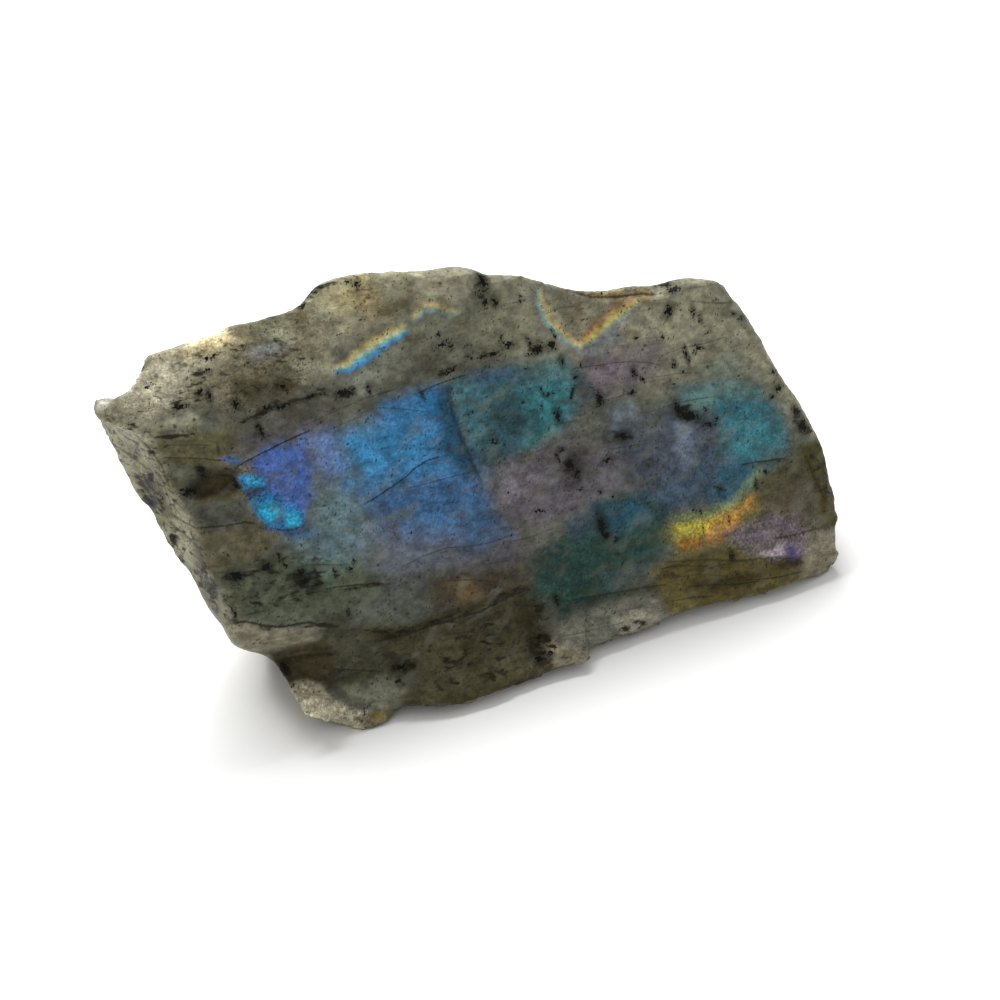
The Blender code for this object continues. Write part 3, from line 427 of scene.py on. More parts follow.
# Where brown dirt fills the pores: how much it covers, how soft its edge is, and the outline.
DIRT = [
    (0.42, 1.5, (-42, 79), (-31, 75), (-28, 60), (-23, 38), (-21, 30), (-30, 34), (-38, 60)),
    (0.4, 3, (-24, 42), (-8, 42), (0, 37), (5, 31), (-4, 27), (-18, 29), (-24, 34)),
    (0.34, 4, (-34, 82), (-24, 86), (0, 86), (8, 80), (4, 71), (-10, 70), (-22, 72), (-32, 73)),
    (0.55, 1, (-25.5, 77), (-18, 77.3), (-17.4, 74.2), (-25.5, 74)),
    (0.6, 0.8, (-20.4, 84.5), (-17.6, 84.5), (-17.2, 78), (-20.2, 77.6)),
    (0.56, 0.8, (-19, 84.2), (-8.5, 83.6), (-8.5, 81.9), (-19, 82.2)),
    (0.36, 3, (-14, 79), (0, 79), (4, 73), (-3, 70.5), (-14, 71)),
    (0.58, 0.9, (-13.5, 69.6), (-4, 70.8), (6.5, 71), (6.5, 69), (-4, 68.6), (-13.5, 67.8)),
    (0.66, 0.9, (6.6, 69.4), (12, 69.2), (12, 66.8), (7, 67.4)),
    (0.62, 1.2, (3.5, 88.6), (8, 92), (14, 92), (14, 89.8), (7, 88), (3.5, 86)),
    (0.38, 1.2, (13, 91), (20, 91), (20, 85), (16.5, 84)),
    (0.6, 0.9, (-31.5, 71.8), (-22, 69.8), (-22, 68), (-31.5, 69.6)),
    (0.62, 0.6, (-24, 62.8), (-21.4, 63), (-21.4, 60.4), (-23.2, 60)),
    (0.62, 0.6, (-28.4, 59.6), (-24, 59.6), (-23.6, 57.4), (-27, 57.4)),
    (0.35, 1.2, (-22, 61.6), (-15, 60.4), (-15.4, 56), (-22, 56.4)),
    (0.74, 1, (-36.6, 65), (-32, 64.4), (-31, 56), (-35, 56)),
    (0.66, 1, (-32.8, 52), (-30, 51.8), (-29, 48), (-32, 48)),
    (0.74, 1.3, (-30, 44.6), (-25.4, 43.6), (-23.6, 35.6), (-27, 35)),
    (0.55, 1.2, (-18.4, 62), (-15.6, 60.4), (-15, 56), (-17.6, 55)),
    (0.5, 1.2, (-24, 41.6), (-16, 41.4), (-12, 40.2), (-12, 38), (-18, 37.6), (-24, 38.4)),
    (0.62, 1.1, (-9, 37.4), (-3, 35.6), (-2.6, 32), (-7, 32), (-9.6, 34)),
    (0.6, 0.8, (-5, 32), (4, 30.8), (11, 28.8), (11, 27.8), (3, 29.2), (-5, 30.6)),
    (0.58, 0.8, (-24.4, 32.6), (-21, 31), (-21, 29.4), (-24.4, 30)),
    (0.55, 0.8, (-18, 28.2), (-8, 26.4), (-1.6, 23.8), (-2, 22.6), (-9, 25), (-18, 26.8)),
    (0.7, 0.7, (-16.4, 20.6), (-13.6, 20), (-13.4, 16.4), (-15.8, 16.2)),
    (0.32, 2, (-12, 20.4), (-4, 19.6), (4, 16.5), (9, 14), (9, 9), (2, 11), (-6, 14)),
    (0.6, 0.9, (3, 20.6), (9, 18.8), (22, 18.8), (40, 20.6), (40, 18), (22, 16.8), (8, 17)),
    (0.5, 2, (7, 13.4), (13, 13.6), (14, 9), (9, 7.6)),
    (0.4, 2.5, (18, 15), (34, 16), (35, 1.5), (24, 0), (14, 2.6)),
    (0.66, 1.1, (36, 9.4), (42, 9.4), (43, 4), (40, 1), (36.6, 3)),
    (0.4, 0.9, (41.6, 3), (48.6, 3), (48.6, 0), (42, -0.6)),
    (0.5, 1.4, (39, 17), (44, 16), (43, 11), (39, 10)),
    (0.5, 0.8, (56, 5), (63, 5), (63, 2.4), (57, 2)),
    (0.3, 1.4, (69, 14), (84, 11.6), (100, 7.4), (100, 5.6), (84, 8.4), (69, 11.6)),
    (0.3, 1.2, (73, 9.8), (90, 5.6), (90, 3.8), (74, 6.8)),
    (0.35, 1.4, (93, 8.4), (101, 8), (101, 5), (94, 5.4)),
    (0.66, 1, (103.4, 40), (106, 37.6), (108.4, 32), (107, 31), (104, 35)),
    (0.5, 1.2, (105.6, 29), (110, 27), (111.6, 15), (108, 16), (106, 22)),
    (0.6, 0.8, (78, 72), (84, 71), (84.4, 69), (79, 69.8)),
    (0.5, 0.9, (64, 74), (78, 71.6), (78, 70.4), (66, 72.2)),
    (0.34, 1.6, (50, 43), (55, 43.6), (57.6, 39), (54.4, 35), (50.6, 37)),
    (0.5, 1.1, (64, 45), (68, 45), (68, 42), (64, 42)),
    (0.5, 0.9, (78.4, 47.4), (81.6, 46), (84.4, 42.8), (83.6, 41), (80, 42.2), (77.6, 45)),
    (0.5, 1, (40.4, 84.4), (43.6, 84.4), (43.4, 76.6), (40.6, 76.6)),
    (0.5, 1, (48.6, 69), (53, 68), (53.4, 64.6), (49.6, 64.2)),
    (0.5, 0.9, (29, 68), (34, 68), (34, 65.8), (29, 65.8)),
    (0.52, 0.8, (36, 68.8), (43, 68.2), (46.5, 69.2), (46.5, 67), (37, 66.8)),
    (0.55, 1, (83.6, 28), (87, 28), (87, 25), (84, 25)),
    (0.45, 1, (43.4, 16.4), (46.4, 16.4), (46, 13.6), (43.6, 13.6)),
]

# Dark grains of iron minerals: place, half length and half width in mm, and any turn in degrees.
GRAINS = [
    (-24, 75, 1, 0.35), (-19.3, 76.8, 0.7, 0.4, 20), (-17.8, 75.6, 0.4, 0.8), (-15.5, 82.6, 1.3, 0.3, 5),
    (-17.8, 80.3, 1, 0.35), (-29, 80.6, 0.8, 0.3), (-22.5, 61.4, 0.5, 1.1, 20), (-33.3, 62.2, 0.5, 0.8),
    (-33.8, 58.4, 0.4, 0.8), (-31.4, 58.8, 0.3, 0.5), (-26, 58.5, 1.5, 0.5, -15), (-31, 50.3, 0.5, 0.5),
    (-9.1, 66, 0.4, 1, 15), (-16.3, 57.5, 0.25, 0.5), (-6.7, 69.8, 1, 0.4), (-3.6, 69.3, 1, 0.4),
    (2.7, 69.7, 0.7, 0.35), (5, 69.6, 0.4, 0.3), (9, 68.6, 1, 0.5), (10.5, 67.9, 0.8, 0.4),
    (14.6, 67.7, 0.25, 0.7), (-12.9, 72.5, 0.5, 0.8), (-2.5, 73.2, 0.8, 0.3, -20), (4.6, 87.4, 0.5, 0.4),
    (-3, 87.5, 0.8, 0.3), (9, 90.4, 1, 0.3, 20), (16.8, 88.8, 0.5, 0.5), (15, 89.7, 0.3, 0.2),
    (-20.2, 39.3, 1.1, 0.8), (-13.8, 39.3, 0.8, 0.7), (-25.3, 38.4, 0.5, 0.7), (-26.4, 39.8, 0.3, 0.6),
    (-9.7, 38.4, 0.6, 0.4, -20), (-10.9, 40.4, 0.2, 0.5), (-6.5, 38.5, 0.25, 0.25), (-7.2, 36.1, 0.6, 0.6),
    (-7, 34.2, 1.2, 0.6, 10), (-4.4, 32.8, 0.5, 0.5), (-23.4, 35.5, 0.35, 0.4), (-22.2, 32.2, 0.3, 0.9),
    (-21, 43.6, 0.25, 0.25), (-16.9, 34.2, 0.25, 0.25), (-0.1, 34, 0.25, 0.6), (3.2, 33.9, 0.5, 0.4),
    (4.3, 35.1, 0.3, 0.4), (0.9, 25.6, 0.25, 0.6), (1.4, 27.3, 0.25, 0.25), (-14.8, 18.4, 0.9, 1),
    (-0.3, 4.6, 0.25, 0.45), (-13.8, 14.6, 0.3, 0.4), (8.2, 8.4, 0.4, 0.25), (9, 11.2, 1.2, 0.5, -10),
    (42.6, 82.5, 0.6, 1.4, 20), (41.5, 80.2, 1, 0.25), (42.4, 78, 0.45, 0.5), (44.3, 77.5, 0.5, 0.8),
    (49.8, 76.6, 0.3, 0.5), (31.2, 74.4, 0.35, 0.35), (31.7, 72.3, 1.3, 0.35, 15), (33.3, 71.3, 0.35, 0.6),
    (36.6, 68.1, 0.6, 0.25, -25), (39.5, 67.5, 0.6, 0.25), (41.6, 67.4, 1, 0.35, -10),
    (32, 66.7, 1.3, 0.35, 10), (45.3, 68.3, 1, 0.45, -25), (44.1, 70, 0.25, 0.6, -20),
    (50.1, 67.2, 0.3, 1.1, 15), (51.4, 65.8, 0.7, 0.7, 20), (50, 65.3, 0.9, 0.2),
    (54.5, 65.6, 0.8, 0.6, -40), (55.4, 68.1, 0.2, 0.7, 15), (25.3, 63.5, 0.2, 0.8, 15),
    (48.3, 62.6, 0.4, 0.2), (56, 61.9, 0.4, 0.8), (60.1, 60, 0.25, 0.35), (58.3, 57.9, 0.35, 0.35),
    (50.5, 57, 0.2, 0.7, 15), (52.4, 56.3, 0.9, 0.25, 10), (56.9, 55, 0.25, 0.7, -20),
    (49.9, 53.9, 0.2, 0.45), (52.8, 51.3, 0.5, 1.1, 5), (62.5, 52.2, 0.6, 1.2), (61.4, 55.3, 0.3, 0.25),
    (34.6, 57.2, 0.6, 0.25), (33.5, 53.7, 0.35, 0.25), (38.5, 50.1, 0.65, 0.35, -20),
    (46, 56.2, 0.25, 0.25), (53.4, 41, 0.7, 0.8), (54.6, 38.5, 0.4, 1), (52.2, 44.4, 0.6, 0.4, -20),
    (51.2, 42.7, 0.2, 0.9, 10), (61.5, 39.5, 0.9, 0.5, 10), (54.8, 35.3, 0.4, 0.3), (66, 43.5, 0.7, 0.7),
    (58.7, 33.6, 0.4, 0.35), (45.2, 33.4, 0.7, 0.35, -15), (57.7, 26.6, 0.6, 1.9, 8),
    (58.3, 24.4, 0.7, 0.7), (60.2, 23, 0.45, 0.45), (44.8, 14.5, 0.4, 0.9, 10), (37.8, 30.4, 0.25, 0.2),
    (38, 3.2, 0.6, 0.7), (40.2, 4, 1, 0.4, -10), (39.6, 8.2, 0.6, 0.4), (34.3, 8.8, 0.45, 0.2, 10),
    (61.3, 31.7, 0.25, 0.2), (39.1, 39.1, 0.35, 0.18, -30), (17.2, 37.1, 0.25, 0.2),
    (81.2, 43.5, 1.9, 0.75, -27), (79.2, 45.3, 1, 0.6, -40), (78.9, 45.8, 0.5, 0.9, 10),
    (85.3, 40.3, 1.1, 0.4, -10), (86.9, 40.8, 0.6, 0.3, 20), (85.1, 43.6, 0.35, 0.35),
    (71, 55.5, 0.45, 0.8, 10), (72.6, 53.6, 0.25, 0.5, 20), (70, 51.6, 0.5, 0.5, -30),
    (68, 52.3, 0.25, 0.25), (80.1, 54.7, 0.35, 0.75), (83.2, 56, 0.3, 1.3, 5), (86.2, 56.7, 0.9, 0.35, -30),
    (85.4, 56, 0.7, 0.3, 40), (81.7, 52.5, 0.45, 0.25, -35), (78.6, 61.1, 0.3, 0.5), (86.4, 64, 0.35, 0.7),
    (87.7, 62.4, 0.25, 0.7), (81, 65.7, 0.7, 0.9, -20), (83.2, 69.7, 1.1, 0.6),
    (80.9, 71.1, 1.3, 0.35, -10), (68, 73.3, 0.7, 0.25, 5), (88.6, 59, 0.55, 0.3, 10),
    (95.3, 61.2, 0.35, 0.35), (96.6, 60, 0.4, 0.35), (101.8, 47.1, 0.35, 0.35), (102.3, 43.4, 0.8, 0.5),
    (100.6, 42.1, 0.45, 0.3), (105.3, 37.6, 0.5, 0.9, 20), (106.2, 34.2, 0.8, 1.1), (73, 62.3, 0.4, 0.3),
    (85, 12, 0.4, 0.7), (93.3, 25.2, 0.2, 0.8, -10), (95.8, 27.2, 0.35, 0.4), (85.2, 26.5, 0.4, 0.5),
    (85.6, 24.5, 0.25, 0.25), (78.6, 23.9, 0.35, 0.3), (79.9, 23.2, 0.2, 0.4), (72.4, 26.8, 0.3, 0.2),
    (85.9, 19.6, 0.15, 0.5), (79.7, 19.6, 0.15, 0.45),
]

# Where the stone is crumbly and sugary, how much, how soft the edge is, and the outline.
CRUMBLY = [
    (1, 2, (-42, 79), (-32, 92), (8, 92), (10, 80), (4, 72), (-12, 69), (-22, 74), (-32, 73)),
    (0.7, 3, (4, 92), (24, 94), (24, 83), (10, 80)),
    (1, 0.6, (-17, 15), (-10.5, 14.5), (-8, 11), (-3, 5.8), (1, 5), (4, -3), (-10, 0), (-18, 8)),
    (0.8, 1.2, (38, 7), (55, 9), (69, 7.5), (69, -2), (40, -3)),
    (0.6, 1.5, (62, 76), (94, 72), (94, 69.5), (74, 69), (66, 71)),
    (0.5, 3, (4, 20), (42, 19), (44, -3), (0, -3)),
    (0.6, 1, (88, 13), (110, 13), (110, 2), (92, 5)),
]

# Where painted glints break the colour into bright flecks: how much, how soft the edge is, and the outline.
GLINTS = [
    (1, 0.8, (70, 24), (76, 24), (86, 23), (93, 23.5), (94, 18), (86, 15.5), (72, 15.5)),
    (0.9, 1, (84, 18), (102, 17), (103, 7), (90, 8), (85, 13)),
    (0.8, 1, (-17, 15), (-10, 15), (-6, 9), (1, 5), (1, -2), (-10, 2)),
    (0.5, 2, (-38, 79), (-33, 90), (-10, 90), (-10, 84), (-30, 79)),
    (1, 0.5, (-18, 63), (-14, 61), (-9, 56), (-3, 47), (-4, 44), (-14, 46), (-16, 56)),
    (0.45, 2, (-13, 61), (30, 65), (58, 62), (58, 48), (36, 31), (20, 36), (-4, 44)),
    (0.5, 2, (41, 25), (66, 32), (90, 48), (103, 40), (104, 28), (90, 22), (68, 22), (60, 13), (42, 13)),
]


# --- Measuring marks against the stone ----------------------------------------------------------


def depth_inside(spots, outline):
    """How far inside an outline each spot lies, in mm, and less than nought outside it."""
    corners = np.array(outline, float)
    nearest = np.full(len(spots), np.inf)
    inside = np.zeros(len(spots), bool)
    for start, end in zip(corners, np.roll(corners, -1, axis=0)):
        side = end - start
        share = np.clip((spots - start) @ side / (side @ side), 0, 1)
        nearest = np.minimum(nearest, np.linalg.norm(spots - start - np.outer(share, side), axis=1))
        spans = (start[1] > spots[:, 1]) != (end[1] > spots[:, 1])
        if side[1]:
            crossing = start[0] + (spots[:, 1] - start[1]) * side[0] / side[1]
            inside ^= spans & (spots[:, 0] < crossing)
    return np.where(inside, nearest, -nearest)


def from_line(spots, line):
    """How far each spot is from a line in mm, more than nought above it, how far along it, and its length."""
    points = np.array(line, float)
    apart = np.full(len(spots), np.inf)
    place = np.zeros(len(spots))
    gone = 0
    for start, end in zip(points, points[1:]):
        side = end - start
        length = np.linalg.norm(side)
        share = np.clip((spots - start) @ side / length**2, 0, 1)
        gap = spots - start - np.outer(share, side)
        away = np.linalg.norm(gap, axis=1)
        above = np.sign(side[0] * gap[:, 1] - side[1] * gap[:, 0])
        nearer = away < np.abs(apart)
        apart = np.where(nearer, np.where(above < 0, -away, away), apart)
        place = np.where(nearer, gone + share * length, place)
        gone += length
    return apart, place, gone


def cloud(places, size, layers=3, seed=0):
    """Soft random heights from about -1 to 1, whose largest lumps are this many mm across."""
    shifted = places / size + 17.3 * seed
    return np.array([noise.fractal(Vector(place), 1, 2, layers) for place in shifted])


def facets(places, size):
    """Heights in mm of flat breaks that tilt this way and that, each about this many mm across."""
    heights = []
    for place in places / size:
        place = Vector(place)
        middle = noise.voronoi(place)[1][0]
        heights.append((place - middle).dot(noise.noise_vector(3.1 * middle)))
    return size * np.array(heights)


def pushed(places, spots, size, reach, seed):
    """The spots moved about by up to this reach in mm, so that no mark has a ruled edge."""
    shove = np.array([noise.noise_vector(Vector(place))[:2] for place in places / size + 31.7 * seed])
    return spots + shove * reach


# --- The stone's shape --------------------------------------------------------------------------


def to_face():
    """Turns the part's own metres into mm along the face, up the face and out of it."""
    turn = Matrix((ALONG, UP_FACE, OUT)).to_4x4()
    return Matrix.Scale(1 / MM, 4) @ turn @ Matrix.Translation(-TOE)


def merged_copy():
    """A copy of the CAD solid in face millimetres, with its loose triangles joined."""
    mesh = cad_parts[STONE].data.copy()
    mesh.transform(to_face())
    work = bmesh.new()
    work.from_mesh(mesh)
    bmesh.ops.remove_doubles(work, verts=work.verts, dist=0.001)
    work.to_mesh(mesh)
    work.free()
    return mesh


def remeshed(mesh):
    """The same stone in even squares."""
    stone = bpy.data.objects.new("chunk_in_finish", mesh)
    bpy.context.scene.collection.objects.link(stone)
    even = stone.modifiers.new("Even squares", "REMESH")
    even.mode = "VOXEL"
    even.voxel_size = MESH
    depsgraph = bpy.context.evaluated_depsgraph_get()
    result = bpy.data.meshes.new_from_object(stone.evaluated_get(depsgraph))
    stone.modifiers.clear()
    stone.data = result
    return stone


def refine_front(mesh):
    """Halves the squares that face forward, where all the marks are."""
    work = bmesh.new()
    work.from_mesh(mesh)
    work.normal_update()
    edges = [edge for edge in work.edges if any(f.normal.z > FRONT_TURN for f in edge.link_faces)]
    bmesh.ops.subdivide_edges(work, edges=edges, cuts=1, use_grid_fill=True)
    bmesh.ops.triangulate(work, faces=work.faces)
    work.to_mesh(mesh)
    work.free()


def places_of(mesh):
    flat = np.empty(len(mesh.vertices) * 3)
    mesh.vertices.foreach_get("co", flat)
    return flat.reshape(-1, 3)


def put_places(mesh, places):
    mesh.vertices.foreach_set("co", places.ravel())
    mesh.update()


def normals_of(mesh):
    flat = np.empty(len(mesh.vertices) * 3)
    mesh.vertex_normals.foreach_get("vector", flat)
    return flat.reshape(-1, 3)


def laid_on(places, solid):
    """Each place moved to the nearest point of the CAD solid, which brings its edges back."""
    surface = BVHTree.FromPolygons([v.co for v in solid.vertices], [p.vertices for p in solid.polygons])
    return np.array([surface.find_nearest(Vector(place))[0] for place in places])


def eased(mesh, places, times):
    """Places drawn towards their neighbours, which takes the facets off the CAD solid."""
    flat = np.empty(len(mesh.edges) * 2, int)
    mesh.edges.foreach_get("vertices", flat)
    a, b = flat.reshape(-1, 2).T
    count = np.bincount(flat, minlength=len(places))[:, None]
    for _ in range(times):
        total = np.zeros_like(places)
        np.add.at(total, a, places[b])
        np.add.at(total, b, places[a])
        places = places + 0.5 * (total / count - places)
    return places


def spread(regions, spots):
    """How much of something there is at each spot, from 0 to 1."""
    most = np.zeros(len(spots))
    for share, soft, *outline in regions:
        most = np.maximum(most, share * ramp(depth_inside(spots, outline), -soft, soft))
    return most


def splitting_steps(across, spacing, height):
    """Heights in mm of the small steps that the stone splits in, one after another across the grain."""
    turns = across / spacing
    step = turns - np.floor(turns)
    return height * (step - ramp(step, 0.8, 1) - 0.4)


def ledges(spots):
    """How far the ledges lift the surface above each line, and lower it below, in mm."""
    height = np.zeros(len(spots))
    for drop, reach, *line in LEDGES:
        apart, gone, length = from_line(spots, line)
        ends = ramp(gone, 0, 2) * ramp(length - gone, 0, 2)
        height += drop / 2 * np.tanh(apart / 0.25) * np.exp(-np.abs(apart) / reach) * ends
    return height


def towards_camera(normals):
    """How far each place turns to the camera: 1 straight at it, 0 edge on, -1 away."""
    return normals @ np.array((to_face() @ (TOE + CAMERA_FROM_TOE * MM)).normalized())


def facing(places, normals, limits):
    """How much each place belongs to the front, by how it turns and how far back it lies."""
    left = ramp(-places[:, 0], -5, 15)
    reach = FRONT_DEPTH + LEFT_END_DEPTH * left
    below_plateau = ramp(-places[:, 1], -76, -70)
    turned = towards_camera(normals) + 0.4 * left * below_plateau
    return ramp(turned, *limits) * ramp(places[:, 2], -reach - 4, -reach)


def relief(places, normals, spots):
    """How far the surface stands out at each place, in mm."""
    forward = facing(places, normals, SHAPED)
    crumbly = spread(CRUMBLY, spots)
    fine = cloud(places, FINE_LUMPS, 4, 1)
    coarse = cloud(places, COARSE_LUMPS, 3, 2)
    level = spots[:, 1] * math.cos(SHEET_TILT) + spots[:, 0] * math.sin(SHEET_TILT)
    left_end = ramp(-spots[:, 0], 27, 30)
    lower = ramp(-spots[:, 1], -20, -17)
    smooth_face = (1 - crumbly) * (1 - 0.7 * lower)
    height = smooth_face * (0.08 * coarse + 0.05 * fine)
    height += crumbly * (0.38 * fine + 0.15 * coarse)
    sheets = splitting_steps(level + coarse, *FOOT_SHEETS)
    height += lower * (0.2 * coarse + 0.14 * fine) + 0.7 * lower * sheets
    height += left_end * 0.12 * fine
    height += ledges(spots)
    height += left_end * (0.12 * facets(places, 7) + 0.1 * coarse)
    behind = np.clip(0.5 * facets(places, 13) + 0.35 * facets(places, 5), -1.6, 1)
    behind += splitting_steps(places[:, 1] + 2 * coarse, *REAR_SHEETS)
    behind = behind * ramp(-towards_camera(normals), 0, 0.5) + 0.2 * fine
    thin_edge = ramp(-places[:, 0], 12, 22) * ramp(places[:, 1], 68, 78)
    out = (height * forward + behind * (1 - forward)) * (1 - 0.75 * thin_edge)
    return out + TIP_OUT * ramp(-spots[:, 0], 33, 38) * ramp(-normals[:, 0], 0, 0.5)


def cut_in(spots):
    """How deep the cracks, and the grooves along the painted shadow lines, are at each spot, in mm."""
    depth = np.zeros(len(spots))
    for width, dark, *line in CRACKS_AND_SHADOW_LINES + CROSSING_CRACKS:
        apart, _, _ = from_line(spots, line)
        depth = np.maximum(depth, dark * width * np.exp(-((apart / GROOVE) ** 2)))
    return depth


def shape_stone():
    """The finished shape, with its mesh still in face millimetres."""
    solid = merged_copy()
    stone = remeshed(solid.copy())
    mesh = stone.data
    refine_front(mesh)
    places = laid_on(places_of(mesh), solid)
    places = eased(mesh, places, 1)
    put_places(mesh, places)
    normals = normals_of(mesh)
    spots = seen(places)
    out = relief(places, normals, spots) - cut_in(spots) * facing(places, normals, SHAPED)
    put_places(mesh, places + normals * out[:, None])
    return stone


def seen(places):
    """Where the line from the camera to each place meets the plane of the broad face, in mm."""
    eye = to_face() @ (TOE + CAMERA_FROM_TOE * MM)
    share = eye.z / (eye.z - places[:, 2])
    return np.array(eye)[:2] + (places[:, :2] - np.array(eye)[:2]) * share[:, None]


# --- Painting the marks on ----------------------------------------------------------------------


def band_colour(band, across):
    """The colour of a rainbow band this far across it, in linear red, green and blue."""
    at = [place for place, _ in band]
    shades = np.array([to_linear(code) for _, code in band])
    return np.stack([np.interp(across, at, shades[:, i]) for i in range(3)], axis=1)


def broken_colour(places):
    """The colour of the broken sides and rear: grey-green feldspar with dark and pale layers in it."""
    colour = np.tile(to_linear(FELDSPAR), (len(places), 1))
    layered = places * (0.5, 1.2, 1)
    for code, most, size, seed in LAYERS:
        share = most * ramp(cloud(layered, size, 4, seed), -0.1, 0.5)
        colour += (to_linear(code) - colour) * share[:, None]
    return colour


def stone_colour(places, normals, spots):
    """The stone's colour at each place, before its grain, with its flashes of reflected light and some shade
    painted in.
    """
    colour = broken_colour(places)
    forward = facing(places, normals, PAINTED)
    loose = pushed(places, spots, 7, WANDER, 1)
    feather = cloud(places, 4, 2, 7)
    # Patches, among them flashes of reflected light and some painted light and shade, laid over the colour.
    for code, cover, soft, *outline in PATCHES:
        softer = soft * SOFTER
        inside = depth_inside(loose, outline) + 0.4 * feather * softer
        share = cover * forward * ramp(inside, -softer, softer)
        colour += (to_linear(code) - colour) * share[:, None]
    # Painted reflected light: rainbow bands from thin air films in splits.
    for strength, band, *line in RAINBOWS:
        across, gone, length = from_line(pushed(places, spots, 3.5, 0.6, 2), line)
        across /= 0.5 + 0.5 * ramp(gone, 0, 7) * ramp(length - gone, 0, 6)
        near = ramp(across, band[0][0] - 0.6, band[1][0]) * ramp(-across, -band[-1][0] - 0.6, -band[-2][0])
        ends = ramp(gone, 0, 2) * ramp(length - gone, 0, 2)
        share = strength * forward * near * ends * (0.9 + 0.4 * feather)
        colour += (band_colour(band, across) - colour) * np.clip(share, 0, 1)[:, None]
    return colour


def crack_and_shadow_fields(spots, cracks):
    """The distance in widths to the nearest of the cracks and painted shadow lines, and how dark it is there.
    """
    apart = np.full(len(spots), 99.0)
    dark_here = np.zeros(len(spots))
    for width, dark, *line in cracks:
        away, gone, length = from_line(spots, line)
        nearer = np.abs(away) < np.abs(apart)
        fade = ramp(gone, 0, 1.5) * ramp(length - gone, 0, 1.5)
        apart = np.where(nearer, away / width * 0.2, apart)
        shade = dark * np.clip(fade + 0.15, 0, 1) * ramp(-np.abs(away), -1.8, -1)
        dark_here = np.where(nearer, shade, dark_here)
    return np.clip(apart, -2, 2), dark_here


def grain_fields(spots):
    """How far inside the nearest dark grain each spot lies, in mm, and how dark the stone around it is."""
    inside = np.full(len(spots), -2.0)
    smudge = np.zeros(len(spots))
    for along, up, half_long, half_wide, *turn in GRAINS:
        angle = math.radians(sum(turn))
        gap = spots - (along, up)
        long_way = gap[:, 0] * math.cos(angle) + gap[:, 1] * math.sin(angle)
        wide_way = gap[:, 1] * math.cos(angle) - gap[:, 0] * math.sin(angle)
        reach = np.hypot(long_way / (GROWN * half_long), wide_way / (GROWN * half_wide))
        inside = np.maximum(inside, (1 - reach) * GROWN * min(half_long, half_wide))
        smudge = np.maximum(smudge, ramp(-reach, -HALO, -1) * min(1, 1.4 * half_wide))
    return inside, smudge


def paint(mesh):
    """Keeps the marks on the mesh, where the material reads them."""
    places = places_of(mesh)
    normals = normals_of(mesh)
    spots = seen(places)
    forward = facing(places, normals, MARKED)
    colour = mesh.attributes.new("stone_colour", "FLOAT_COLOR", "POINT")
    rgba = np.ones((len(places), 4))
    rgba[:, :3] = stone_colour(places, normals, spots)
    colour.data.foreach_set("color", rgba.ravel())
    inside, smudge = grain_fields(spots)
    fields = {
        "front": forward,
        "crumbly": spread(CRUMBLY, spots) * forward,
        "glints": spread(GLINTS, spots) * forward,
        "dirt": spread(DIRT, spots) * forward + 0.2 * (1 - forward),
        "grains": inside,
        "smudge": smudge * forward,
    }
    # The first set of dark lines includes painted shadow lines under overhanging edges.
    for which, cracks in enumerate((CRACKS_AND_SHADOW_LINES, CROSSING_CRACKS)):
        fields[f"crack_{which}"], dark = crack_and_shadow_fields(spots, cracks)
        fields[f"crack_dark_{which}"] = dark * forward
    for name, values in fields.items():
        mesh.attributes.new(name, "FLOAT", "POINT").data.foreach_set("value", values)


# --- The stone's finish -------------------------------------------------------------------------


def add(tree, kind, inputs=None, **settings):
    """Adds a shader node with its settings; each input is a number, a colour or a node's output."""
    node = tree.nodes.new("ShaderNode" + kind)
    for name, value in settings.items():
        setattr(node, name, value)
    sockets = {socket.identifier: socket for socket in node.inputs}
    for name, value in (inputs or {}).items():
        if isinstance(value, bpy.types.NodeSocket):
            tree.links.new(value, sockets[name])
        else:
            sockets[name].default_value = value
    return {socket.identifier: socket for socket in node.outputs}


def opaque(code):
    """A hex colour as a socket holds it."""
    return (*to_linear(code), 1)


# What paint() keeps on the mesh for the material to read.
MARKS = ["front", "crumbly", "glints", "dirt", "grains", "smudge"]
MARKS += ["crack_0", "crack_dark_0", "crack_1", "crack_dark_1"]

# Each pattern in the stone: its size in mm along the face, up it and into it, its tilt in degrees,
# its layers, and the heights it fades in between.
PATTERNS = {
    "clouds": ((9, 6, 7), 20, 4, 0.32, 0.68),
    "mottles": ((2.4, 1.9, 2.2), -25, 4, 0.33, 0.67),
    "motes": ((0.8, 0.65, 0.8), 35, 2, 0.3, 0.7),
    "sugar": ((0.42, 0.36, 0.4), 10, 2, 0.3, 0.7),
    "crumbs": ((2.2, 1.1, 1.6), -18, 5, 0.36, 0.64),
    "flecks": ((0.5, 0.6, 0.5), -30, 2, 0.34, 0.7),
    "veils": ((6, 2.8, 4), 28, 4, 0.5, 0.72),
    "traces": ((10, 0.42, 2.5), -7, 3, 0.56, 0.74),
    "clumps": ((5, 4, 5), 40, 3, 0.36, 0.64),
    "stains": ((5, 2.2, 4), -22, 5, 0.5, 0.7),
    "shadows": ((4.5, 2.4, 3.5), -14, 5, 0.5, 0.7),
    "grime": ((2.3, 1.1, 1.8), -12, 6, 0.2, 0.8),
}

# How each pattern changes the stone's brightness: where it shows, and its least and most.
BRIGHTNESS = [
    ("clouds", None, 0.88, 1.14),
    ("mottles", None, 0.76, 1.24),
    ("motes", None, 0.86, 1.17),
    ("shadows", None, 1, 0.76),
    ("traces", None, 1.03, 0.76),
    # Painted glints: bright flecks where the stone catches the light.
    ("flecks", "glints", 0.72, 1.42),
    ("crumbs", "crumbly", 0.88, 1.1),
    ("sugar", "crumbly", 0.78, 1.22),
]

